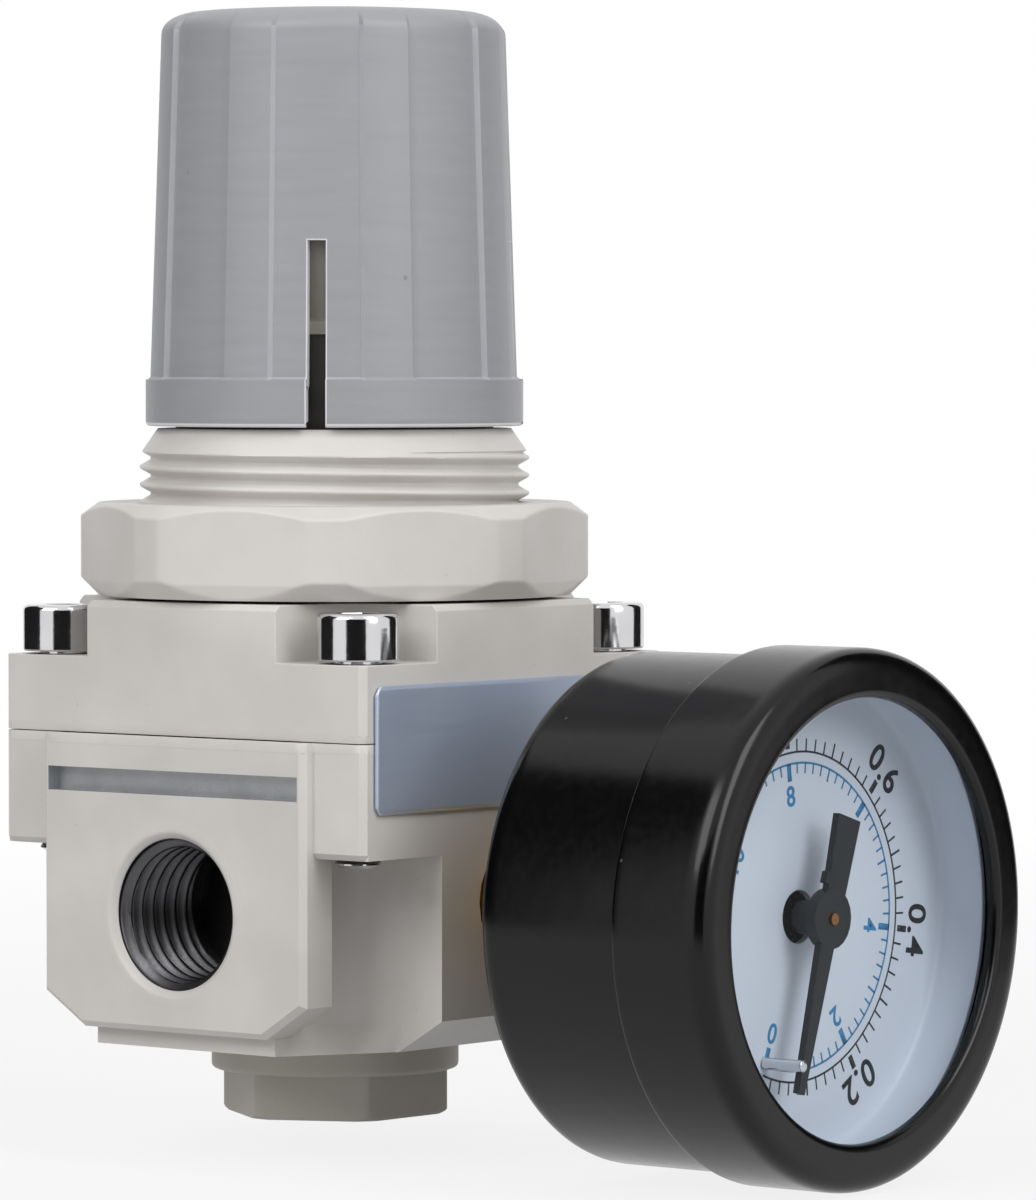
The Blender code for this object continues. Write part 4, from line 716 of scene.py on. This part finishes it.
def make_ports():
    """The soft cast mouth of both ports, turned about the X axis, and the taper thread behind it:
    radius = root less the tooth and less the taper times the depth."""
    mouth = rounded([(MOUTH_R, -0.02, 0), (MOUTH_R - 0.4, 0.012, 0.2),
                     (PORT_ROOT_R + MOUTH_BREAK, 0.015, 0.25), (PORT_ROOT_R, 0.02 - MOUTH_BREAK, 0.2),
                     (PORT_ROOT_R, MOUTH_BACK, 0), (MOUTH_R, MOUTH_BACK, 0)], closed=True)
    angle = full_turn(AROUND // 2)
    depth = np.arange(MOUTH_BREAK, PORT_DEPTH, PORT_PITCH / 12)[:, None]
    fade = np.clip(np.minimum(depth - MOUTH_BREAK, PORT_DEPTH - depth) / (PORT_PITCH / 2), 0, 1)
    tooth = PORT_TOOTH * helix(angle, depth, 0, PORT_PITCH) * fade
    radius = PORT_ROOT_R - tooth - PORT_TAPER * depth
    for side, name in ((-1, "inlet"), (1, "outlet")):
        ring = mouth * [1, side] + [0, side * FLANGE_FACE]
        piece(f"{name}_mouth", [turned(ring, "x", closed=True)], "cast_body")
        height = side * (FLANGE_FACE - depth)
        inner = about(radius, angle, height, "x")
        outer = about(PORT_ROOT_R + PORT_SHEET + 0 * radius, angle, height[::-1], "x")
        # The thread's dark metal includes painted shade for the inside of the port.
        piece(f"{name}_thread", [quads(np.concatenate([inner, outer]), closed_rows=True)],
              "cast_body", finish=TAPPED_METAL_AND_SHADE, crisp=60)


def make_panel_nut():
    """The panel nut: radius = the least of its eight flats, which lean in towards the base, its
    turned corners and two cones."""
    angle = full_turn(AROUND * 2)
    height = np.linspace(NUT_LOW, NUT_TOP, 64)[:, None]
    slope = NUT_CORNER_R - NUT_RIM_R
    lean = np.clip((NUT_LOW + NUT_LEAN_H - height) / NUT_LEAN_H, 0, 1)
    outside = least(polygon_radius(angle, NUT_FLATS - 2 * NUT_LEAN * lean, 8, NUT_TURN),
                    NUT_CORNER_R, NUT_RIM_R + (NUT_TOP - height) * slope / NUT_TOP_CHAMFER,
                    NUT_RIM_R + (height - NUT_LOW) * slope / NUT_BASE_CHAMFER, blend_mm=0.04)
    skin = about(outside, angle, height)
    bore = about(NUT_BORE_R, angle, height[::-1])
    grid = np.concatenate([skin, between(skin[-1], bore[0], 5), bore, between(bore[-1], skin[0], 5)])
    piece("panel_nut_ring", [quads(grid, closed_rows=True)], "cast_body", ["panel_nut"], crisp=40)


# Knob

def off_nearest(angle, count):
    """How many degrees an angle is from the nearest of so many even places round the knob."""
    return np.abs((angle - KNOB_TURN + 180 / count) % (360 / count) - 180 / count)


def knob_side(angle, height):
    """The knob's radius at an angle and a height below its shoulder: a tapered side over a thicker
    band, less the depth of the nearest panel between its two sides."""
    share = np.clip((height - BAND_TOP) / (SHOULDER_LOW - BAND_TOP), 0, 1)
    side = KNOB_BODY_R + (KNOB_TOP_R - KNOB_BODY_R) * share
    sunk = np.clip((PANEL_HALF - off_nearest(angle, PANELS)) / PANEL_EDGE, 0, 1)
    rise = np.clip((height - BAND_TOP) / PANEL_FOOT, 0, 1)
    step = np.clip((height - BAND_TOP) / BAND_STEP, 0, 1)
    return KNOB_R + (side - KNOB_R) * step - PANEL_DEPTH * sunk * rise


def knob_highlight_places(centre):
    """Painted highlights: 1, a light one, on the sides and feet of the panels, 2, a brighter one,
    along the slits and the lower rim, and 0 elsewhere.
    """
    x, y, z = centre.T
    turn = np.degrees(np.arctan2(y, x))
    offset = off_nearest(turn, PANELS)
    side = (offset > PANEL_HALF - PANEL_EDGE) & (z > BAND_TOP) & (z < SHOULDER_LOW)
    foot = (z > BAND_TOP + BAND_LIP) & (z < BAND_TOP + BAND_STEP)
    # The panels' sides and feet, which take the lighter painted highlight.
    drawn = (offset < PANEL_HALF) & (side | foot)
    slit = (off_nearest(turn, SLITS) < SLIT_HALF + SLIT_LINE) & (z < SLIT_TOP + SLIT_LINE_TOP)
    edge_highlight = slit | (z < KNOB_LOW + 0.25)
    return np.where(edge_highlight, 2, drawn.astype(int))


def make_knob():
    """The knob's shell: its side as a grid, open at the slits, its rounded shoulder and crown."""
    corners = KNOB_TURN + np.arange(PANELS)[:, None] * 360 / PANELS
    edges = np.array([-PANEL_HALF, -PANEL_HALF + PANEL_EDGE, PANEL_HALF - PANEL_EDGE, PANEL_HALF])
    sides = np.array([-SLIT_HALF - SLIT_LINE, -SLIT_HALF, SLIT_HALF, SLIT_HALF + SLIT_LINE])
    slits = KNOB_TURN + np.arange(SLITS)[:, None] * 360 / SLITS + sides
    angle = np.unique(np.round(np.concatenate([
        full_turn(), (corners + edges).ravel() % 360, slits.ravel() % 360]), 4))
    rim = KNOB_LOW + np.array([0, 0.12, 0.3])
    height = np.concatenate([
        rim, np.linspace(rim[-1], BAND_TOP, 8)[1:],
        BAND_TOP + np.array([BAND_LIP, PANEL_FOOT, BAND_STEP]),
        np.linspace(BAND_TOP + BAND_STEP, SLIT_TOP, 16)[1:],
        np.linspace(SLIT_TOP + SLIT_LINE_TOP, SIDE_TOP, 24)])
    radius = knob_side(angle, height[:, None])
    radius[0] -= 0.25
    radius[1] -= 0.07
    side = about(radius, angle, height[:, None])
    t = np.linspace(0, 90, 12)[1:, None]
    last = radius[-1]
    rise = KNOB_TOP - KNOB_CROWN_H - SIDE_TOP
    turn_r = KNOB_CROWN_R + (last - KNOB_CROWN_R) * np.cos(np.radians(t))
    turn_z = SIDE_TOP + rise * np.sin(np.radians(t))
    share = np.linspace(0, 1, 14)[1:, None]
    crown_r = KNOB_CROWN_R * (1 - share) + 0 * angle
    crown_z = KNOB_TOP - KNOB_CROWN_H * (1 - share) ** 2
    grid = np.concatenate([side, about(turn_r, angle, turn_z), about(crown_r, angle, crown_z)])
    points, cells = quads(grid)
    middle = points[cells].mean(1)
    turn = np.degrees(np.arctan2(middle[:, 1], middle[:, 0]))
    keep = (off_nearest(turn, SLITS) > SLIT_HALF) | (middle[:, 2] > SLIT_TOP)
    knob = piece("knob_shell", [(points, cells[keep])], "knob_plastic", ["knob"], crisp=30,
                 body="knob")
    # Painted highlights on the panels' sides and feet, along the slits and on the lower rim; through
    # the rim offset, the slits' sides and the bottom edge take the brighter one too.
    paint_by_place(knob, [PANEL_SIDE_HIGHLIGHT, KNOB_EDGE_HIGHLIGHT], knob_highlight_places)
    thicken(knob, KNOB_WALL, use_even_offset=True, material_offset_rim=2)
    bevel(knob, 0.12)


# Screws and guide

def make_screws():
    """Each socket-head screw as one grid of rows from its tip to the floor of its socket, with edges
    broken by some tenths of a mm. Only the socket's rows, a hexagon, change their radius all round."""
    for number in range(1, 5):
        node = f"bonnet_screw_{number}"
        low, high = cad(node)
        centre = (low + high) / 2
        head_r, top, tip = (high[0] - low[0]) / 2, high[2], low[2]
        seat = top - HEAD_H
        angle = full_turn(AROUND_SMALL * 2)
        hexagon = polygon_radius(angle, SOCKET_FLATS, 6, 0)
        ridges = tip + 0.3 + np.arange(0, 1.6, 0.1)
        ridge_r = SHANK_R - 0.4 * SCREW_PITCH * np.abs((ridges - tip) / SCREW_PITCH % 1 * 2 - 1)
        rows = [(0 * angle, tip), (0 * angle + SHANK_R - 0.5, tip)]
        rows += [(0 * angle + r, z) for r, z in zip(ridge_r, ridges)]
        rows += [(0 * angle + r, z) for r, z in (
            (SHANK_R, seat - 0.1), (SHANK_R, seat), (head_r - 0.15, seat), (head_r, seat + 0.15),
            (head_r, seat + 1.2), (head_r, top - 1.2), (head_r, top - 0.45),
            (head_r - 0.05, top - 0.28), (head_r - 0.16, top - 0.12), (head_r - 0.32, top - 0.03),
            (head_r - 0.5, top), (head_r - 0.9, top), (2.1, top))]
        rows += [(hexagon + 0.12, top), (hexagon + 0.02, top - 0.06), (hexagon, top - 0.15),
                 (hexagon, top - SOCKET_DEPTH + 0.4), (hexagon * 0.8, top - SOCKET_DEPTH + 0.3),
                 (0 * angle, top - SOCKET_DEPTH)]
        grid = np.stack([about(r, angle, z, "z", centre[:2]) for r, z in rows])
        piece(f"socket_screw_{number}", [quads(grid)], "plated_steel", [node], crisp=30)


def make_guide():
    """The valve guide from its blind bore over its barrel and flange to the hexagon below, whose
    rim is cut by a cone; rows of the hexagon take its own radius at each angle."""
    angle = full_turn()
    low, high = cad("valve_guide")[:, 2]
    seat = high - GUIDE_SEAT_DEPTH
    plain = rounded([
        (0, GUIDE_WELL_FLOOR, 0), (GUIDE_WELL_R, GUIDE_WELL_FLOOR, 0), (GUIDE_WELL_R, seat, 0),
        (GUIDE_SEAT_R, seat, 0), (GUIDE_SEAT_R, high, 0.1), (GUIDE_BARREL_R, high, 0.3),
        (GUIDE_BARREL_R, GUIDE_FLANGE_TOP, 0), (GUIDE_FLANGE_R, GUIDE_FLANGE_TOP, 0.35),
        (GUIDE_FLANGE_R, GUIDE_FLANGE_LOW, 0.45), (GUIDE_FLANGE_R - 0.55, GUIDE_FLANGE_LOW, 0)])
    reach = GUIDE_HEX / math.sqrt(3)
    height = np.linspace(GUIDE_FLANGE_LOW, low, 22)[:, None]
    cone = reach - 0.5 + (height - low) * 0.5 / 0.35
    side = least(polygon_radius(angle, GUIDE_HEX, 6, GUIDE_TURN), cone, blend_mm=0.05)
    side[-1] -= 0.08
    share = np.linspace(0, 1, 10)[1:, None]
    grid = np.concatenate([about(plain[:, :1], angle, plain[:, 1:]), about(side, angle, height),
                           about(side[-1] * (1 - share), angle, low + 0 * share)])
    piece("guide_moulding", [quads(grid)], "guide_plastic", ["valve_guide"], crisp=40)


def make_label():
    """The foil: a sheet u, v whose height shrinks by the arc of its corners near both ends, and
    which waves by a few hundredths of a millimetre."""
    low, high = cad("label_plate")
    half, middle = (high - low) / 2, (high + low) / 2
    u = np.linspace(-1, 1, 80)[None, :]
    v = np.linspace(-1, 1, 28)[:, None]
    into = np.clip(np.abs(u) * half[0] - (half[0] - LABEL_CORNER), 0, LABEL_CORNER)
    rise = half[2] - LABEL_CORNER + np.sqrt(LABEL_CORNER ** 2 - into ** 2)
    x, z = middle[0] + u * half[0] + 0 * v, middle[2] + v * rise
    y = low[1] + 0.04 + 0.03 * np.sin(x * 0.35) * np.sin(z * 0.5) + 0 * v
    sheet = quads(np.stack([x, y, z], -1), closed_columns=False)
    thicken(piece("foil_label", [sheet], "foil", ["label_plate"], outward=False), LABEL_T)


# Gauge

def make_gauge_shells():
    """Case, bezel, lens and dial dish, turned about the gauge's own axis."""
    centre = (0, GAUGE_Z)
    inner = CASE_R - CASE_SHEET
    case = rounded([
        (CASE_HOLE_R, CASE_BACK, 0.1), (CASE_R, CASE_BACK, CASE_ROUND), (CASE_R, CASE_FRONT, 0.1),
        (inner, CASE_FRONT, 0.1), (inner, CASE_BACK + CASE_SHEET, 1.2),
        (CASE_HOLE_R, CASE_BACK + CASE_SHEET, 0.1)], closed=True, steps=8)
    inner = CASE_R + BEZEL_GAP
    lip = BEZEL_FRONT - LIP_T
    bezel = rounded([
        (BEZEL_R, BEZEL_BACK, 0.35), (BEZEL_R, BEZEL_FRONT, BEZEL_NOSE), (GLASS_R, BEZEL_FRONT, 0.7),
        (GLASS_R, lip, 0.1), (inner, lip, 0.1), (inner, BEZEL_BACK, 0.1)], closed=True, steps=9)
    back, front = sorted(-cad("gauge_lens")[:, 1])
    lens = rounded([(0, back, 0), (CASE_R, back, 0.1), (CASE_R, front, 0.1), (0, front, 0)])
    wall, low = DIAL_R - DIAL_WALL, DIAL_FACE - DIAL_T
    dish = rounded([
        (DIAL_R, CASE_FRONT, 0.1), (DIAL_R, low, 0.3), (DIAL_HOLE_R, low, 0.05),
        (DIAL_HOLE_R, DIAL_FACE, 0.08), (wall, DIAL_FACE, 0.9), (wall, CASE_FRONT, 0.1)],
        closed=True, steps=8)
    for name, profile, closed, slot, node in (
            ("enamelled_case", case, True, "black_enamel", "gauge_case"),
            ("enamelled_bezel", bezel, True, "black_enamel", "gauge_bezel"),
            ("acrylic_lens", lens, False, "lens_clear", "gauge_lens"),
            ("enamelled_dial", dish, True, "dial_white", "gauge_dial")):
        piece(name, [turned(profile, "y", centre, closed)], slot, [node])


def ticks(angles, start, ends, widths):
    """Flat bars on the dial, one for each angle: from the start radius to its end, half its width
    to either side of the line through the centre."""
    turn = np.radians(np.asarray(angles))[:, None, None]
    radial = np.concatenate([np.cos(turn), np.sin(turn)], 2)
    across = np.concatenate([-np.sin(turn), np.cos(turn)], 2)
    along = np.stack([0 * ends + start, 0 * ends + start, ends, ends], 1)[:, :, None]
    side = np.stack([-widths, widths, widths, -widths], 1)[:, :, None] / 2
    flat = (radial * along + across * side).reshape(-1, 2)
    points = np.stack([flat[:, 0], 0 * flat[:, 0] - DIAL_FACE - PRINT_T, flat[:, 1] + GAUGE_Z], 1)
    return points, np.arange(len(points)).reshape(-1, 4)


def circle_line(radius, width, start, end):
    """A flat arc on the dial from one angle to another: a grid of two rows at radius -+ half its
    width."""
    angle = np.linspace(start, end, 160)
    rows = radius + np.array([[-width / 2], [width / 2]])
    grid = about(rows, angle, DIAL_FACE + PRINT_T + 0 * rows, "y", (0, GAUGE_Z))
    return quads(grid, closed_columns=False)


def make_scale(name, radius, lengths, outwards, finish):
    """One scale of the dial: its circle and its minor, half-way and numbered ticks."""
    index = np.arange(SCALE_STEPS * MINOR_PER_STEP + 1)
    angles = SCALE_ZERO + index * SCALE_STEP / MINOR_PER_STEP
    kind = np.where(index % MINOR_PER_STEP == 0, 2, np.where(index % 5 == 0, 1, 0))
    ends = radius + (1 if outwards else -1) * np.array(lengths)[kind]
    widths = np.array(TICK_WIDTHS)[kind]
    start = np.where(kind == 2, radius + (NUMBERED_START if outwards else 0.0), radius)
    circle = circle_line(radius, CIRCLE_W, angles[0], angles[-1])
    parts = [circle, ticks(angles, start, ends, widths)]
    scale = piece(name, parts, "dial_white", finish=finish, outward=False)
    face_front(scale)
    thicken(scale, PRINT_T)


def face_front(obj):
    """Turns every face of a flat print towards the gauge's front."""
    bm = bmesh.new()
    bm.from_mesh(obj.data)
    bm.normal_update()
    bmesh.ops.reverse_faces(bm, faces=[face for face in bm.faces if face.normal.y > 0])
    bm.to_mesh(obj.data)
    bm.free()


def make_numbers(name, words, radius, height, finish):
    """The numbers of one scale as one mesh: each stands at its tick with its top outwards, so that
    its up is the radius and its right is a quarter turn clockwise from it."""
    points, faces = [], []
    start = 0
    for step, word in enumerate(words):
        if not word:
            continue
        curve = bpy.data.curves.new(name, "FONT")
        curve.body, curve.align_x, curve.align_y = word, "CENTER", "CENTER"
        curve.space_character, curve.offset = NUMBER_SPACING, NUMBER_WEIGHT
        holder = placed(name, curve)
        bpy.context.view_layer.update()
        mesh = bpy.data.meshes.new_from_object(holder)
        flat = np.zeros(len(mesh.vertices) * 3)
        mesh.vertices.foreach_get("co", flat)
        flat = flat.reshape(-1, 3)
        flat[:, :2] -= (flat[:, :2].max(0) + flat[:, :2].min(0)) / 2
        flat *= height / np.ptp(flat[:, 1])
        turn = math.radians(SCALE_ZERO + step * SCALE_STEP)
        up = np.array([math.cos(turn), math.sin(turn)])
        right = np.array([math.sin(turn), -math.cos(turn)])
        spot = up * radius + flat[:, :1] * right * NUMBER_STRETCH + flat[:, 1:2] * up
        points.append(np.stack([spot[:, 0], 0 * spot[:, 0] - DIAL_FACE - PRINT_T,
                                spot[:, 1] + GAUGE_Z], 1))
        faces += [[start + corner for corner in polygon.vertices] for polygon in mesh.polygons]
        start += len(flat)
        bpy.data.objects.remove(holder)
    mesh = bpy.data.meshes.new(name)
    mesh.from_pydata((np.vstack(points) * MM).tolist(), [], faces)
    numbers = dress(name, mesh, "dial_white", finish=finish)
    face_front(numbers)
    thicken(numbers, PRINT_T)


def make_dial_print():
    """The outer scale in black and the inner one in blue, with their numbers."""
    make_scale("outer_scale", OUTER_R, OUTER_TICKS, True, PRINT_BLACK)
    make_scale("inner_scale", INNER_R, INNER_TICKS, False, PRINT_BLUE)
    make_numbers("outer_numbers", ["", "0.2", "0.4", "0.6", "0.8", "1.0"], OUTER_NUMBER_R,
                 OUTER_NUMBER_H, PRINT_BLACK)
    make_numbers("inner_numbers", ["0", "2", "4", "6", "8", "10"], INNER_NUMBER_R,
                 INNER_NUMBER_H, PRINT_BLUE)


def make_pointer():
    """The pointer's hub with broken edges, and its blade with a small nib on the tail: rows of four
    corners along the blade, each between its two sides, that close to a point at both ends."""
    softened("gauge_pointer", "pointer_hub", "pointer_black", 0.06, segments=2, body="pointer")
    turn = math.radians(POINTER_TURN)
    along = np.array([math.cos(turn), math.sin(turn)])
    across = np.array([-math.sin(turn), math.cos(turn)])
    parts = []
    for stations in (BLADE, NIB):
        table = np.array(stations)
        ends = table[[0, -1]].copy()
        ends[:, 1:] = ends[:, 1:].mean(1, keepdims=True)
        table = np.vstack([ends[:1], table, ends[1:]])
        depth = np.full((len(table), 4), POINTER_LEVELS[0])
        depth[:, 2:] = POINTER_LEVELS[1]
        depth[[0, -1]] = np.mean(POINTER_LEVELS)
        side = table[:, [1, 2, 2, 1]]
        flat = table[:, :1, None] * along + side[:, :, None] * across
        parts.append(quads(np.stack([flat[..., 0], -depth, flat[..., 1] + GAUGE_Z], -1)))
    blade = piece("pointer_blade", parts, "pointer_black", crisp=20, body="pointer")
    bevel(blade, 0.06)


def make_stop_pin():
    """The stop pin: a turned rod with a rounded end."""
    low, high = cad("pointer_stop")
    centre = (low + high) / 2
    radius = (high[0] - low[0]) / 2
    pin = rounded([(0, -high[1], 0), (radius, -high[1], 0.05), (radius, -low[1], 0.18),
                   (0, -low[1], 0)])
    rod = turned(pin, "y", (centre[0], centre[2]), around=AROUND_SMALL)
    piece("stop_pin", [rod], "plated_steel", ["pointer_stop"])


def make_fittings():
    """Copies of smaller CAD nodes with their edges broken."""
    softened("gauge_socket", "gauge_stem", "brass", 0.12, segments=2)
    softened("gauge_port_plug", "back_plug", "zinc_steel", 0.12, segments=2)


def make_springs():
    """Copies of both springs, each with a mesh of its own."""
    for node, name, joint in (("adjusting_spring", "range_spring", "nut_travel"),
                              ("valve_spring", "poppet_spring", "valve_travel")):
        spring = dress(name, NODES[node].data.copy(), "spring_steel", [node])
        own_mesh(spring)


def make_diaphragm():
    """The rubber diaphragm as two turned rings that meet at the crest of its half-round ripple.
    The rim stays clamped in the castings, and the centre goes up and down with its plates."""
    low = cad("diaphragm")[0, 2]
    top, middle = low + RUBBER_T, low + RUBBER_T / 2
    near, far = RIPPLE_R - RUBBER_T / 2, RIPPLE_R + RUBBER_T / 2
    up = np.radians(np.linspace(0, 89, 9))
    down = np.radians(np.linspace(89, 15, 9))
    for name, body, way, edge, node in (("rubber_rim", "housing", 1, RUBBER_R, ["diaphragm"]),
                                        ("rubber_centre", "diaphragm_group", -1, RUBBER_HOLE_R, [])):
        bow = [(RIPPLE_AT_R + way * radius * math.cos(turn), middle + radius * math.sin(turn))
               for radius, turns in ((near, up), (far, down)) for turn in turns]
        profile = np.array([(edge, low), (RIPPLE_AT_R + way * near, low), *bow,
                            (RIPPLE_AT_R + way * far, top), (edge, top)])
        piece(name, [turned(profile[::way], closed=True)], "rubber", node, body=body)


# Studio

CAMERA_AT = Vector((-0.4579, -0.3877, 0.0465))
CAMERA_AIM = (0.7797, 0.6262)
CAMERA_PITCH = math.radians(2.005)
CAMERA_LENS = 212.1


def make_camera():
    """The photo's camera, with a long lens and a slight pitch down."""
    camera = placed("camera", bpy.data.cameras.new("camera"))
    bpy.context.scene.camera = camera
    level = math.cos(CAMERA_PITCH)
    aim = Vector((CAMERA_AIM[0] * level, CAMERA_AIM[1] * level, -math.sin(CAMERA_PITCH)))
    camera.location = CAMERA_AT
    camera.rotation_euler = aim.to_track_quat("-Z", "Y").to_euler()
    camera.data.lens = CAMERA_LENS
    camera.data.sensor_width = 36
    camera.data.clip_start = 0.01
    camera.data.clip_end = 200


def seen_straight(tree):
    """1 for rays from the camera, off gloss and through glass, and 0 for the light itself."""
    ray = add(tree, "LightPath")
    some = add(tree, "Math", {0: ray.outputs["Is Camera Ray"], 1: ray.outputs["Is Glossy Ray"]},
               operation="MAXIMUM")
    return add(tree, "Math", {0: some.outputs[0], 1: ray.outputs["Is Transmission Ray"]},
               operation="MAXIMUM").outputs[0]


def make_floor():
    """A pale floor, white to the camera far off, that keeps the object's soft shadow near it."""
    mesh = bpy.data.meshes.new("floor")
    low = cad_box[0].z - FLOOR_GAP * MM
    mesh.from_pydata([(x * FLOOR_HALF, y * FLOOR_HALF, low)
                      for x, y in ((-1, -1), (1, -1), (1, 1), (-1, 1))], [], [(0, 1, 2, 3)])
    floor = placed("floor", mesh)
    material, tree = new_material("pale_paper")
    place = add(tree, "TexCoord").outputs["Object"]
    length = add(tree, "VectorMath", {0: place}, operation="LENGTH")
    far = ranged(tree, length.outputs["Value"], 0.85, 1.0, 0.1, 0.4)
    share = add(tree, "Math", {0: far, 1: seen_straight(tree)}, operation="MULTIPLY")
    paper = add(tree, "BsdfDiffuse", {"Color": srgb("#c8c8c8")})
    white = add(tree, "Emission", {"Color": srgb("#ffffff"), "Strength": 1.0})
    both = add(tree, "MixShader", {0: share.outputs[0], 1: paper.outputs[0], 2: white.outputs[0]})
    tree.links.new(both.outputs[0], tree.nodes["Material Output"].inputs["Surface"])
    mesh.materials.append(material)


def make_world():
    """White to the camera and in gloss, and a plain level of light everywhere else."""
    world = bpy.data.worlds.new("studio")
    bpy.context.scene.world = world
    world.use_nodes = True
    tree = world.node_tree
    level = ranged(tree, seen_straight(tree), AMBIENT, 1.0)
    tree.links.new(level, tree.nodes["Background"].inputs["Strength"])
    tree.nodes["Background"].inputs["Color"].default_value = srgb("#ffffff")


def make_flag(name, start, end, top):
    """A black flag round part of the object that only gloss sees: a sheet of two rows at one radius,
    between two angles in degrees and from the floor up to its top in mm."""
    rows = np.array([[cad_box[0].z / MM - 0.1], [top]])
    points, cells = quads(about(FLAG_R, np.linspace(start, end, 24), rows), closed_columns=False)
    mesh = bpy.data.meshes.new(name)
    mesh.from_pydata((points * MM).tolist(), [], cells.tolist())
    material, tree = new_material("black_felt")
    shader = tree.nodes["Principled BSDF"]
    shader.inputs["Base Color"].default_value = srgb("#050505")
    shader.inputs["Roughness"].default_value = 0.95
    mesh.materials.append(material)
    flag = placed(name, mesh)
    flag.visible_camera = flag.visible_diffuse = flag.visible_shadow = False
    flag.visible_transmission = False


def make_lamp(name, place, width, height, power):
    """A soft box, its place and sides in metres and its power in watts, aimed at the object."""
    data = bpy.data.lights.new(name, "AREA")
    data.shape = "RECTANGLE"
    data.size, data.size_y, data.energy = width, height, power
    lamp = placed(name, data)
    lamp.location = place
    aim = LAMP_AIM - Vector(place)
    lamp.rotation_euler = aim.to_track_quat("-Z", "Y").to_euler()


make_castings()
make_joint()
make_pocket_floors()
make_panel_thread()
make_ports()
make_panel_nut()
make_knob()
make_screws()
make_guide()
make_label()
make_gauge_shells()
make_dial_print()
make_pointer()
make_stop_pin()
make_fittings()
make_springs()
make_diaphragm()
make_camera()
make_floor()
make_world()
make_flag("case_flag", 80, 152, 300)
make_flag("camera_flag", 190, 240, 120)
make_flag("lens_flag", 312, 345, 300)
make_lamp("key", (-0.66, 0.05, 0.5), 0.5, 0.5, 2.9)
make_lamp("tall_fill", (-0.09, -0.7, 0.5), 0.35, 0.8, 3.8)
bpy.context.scene.view_settings.view_transform = "Standard"
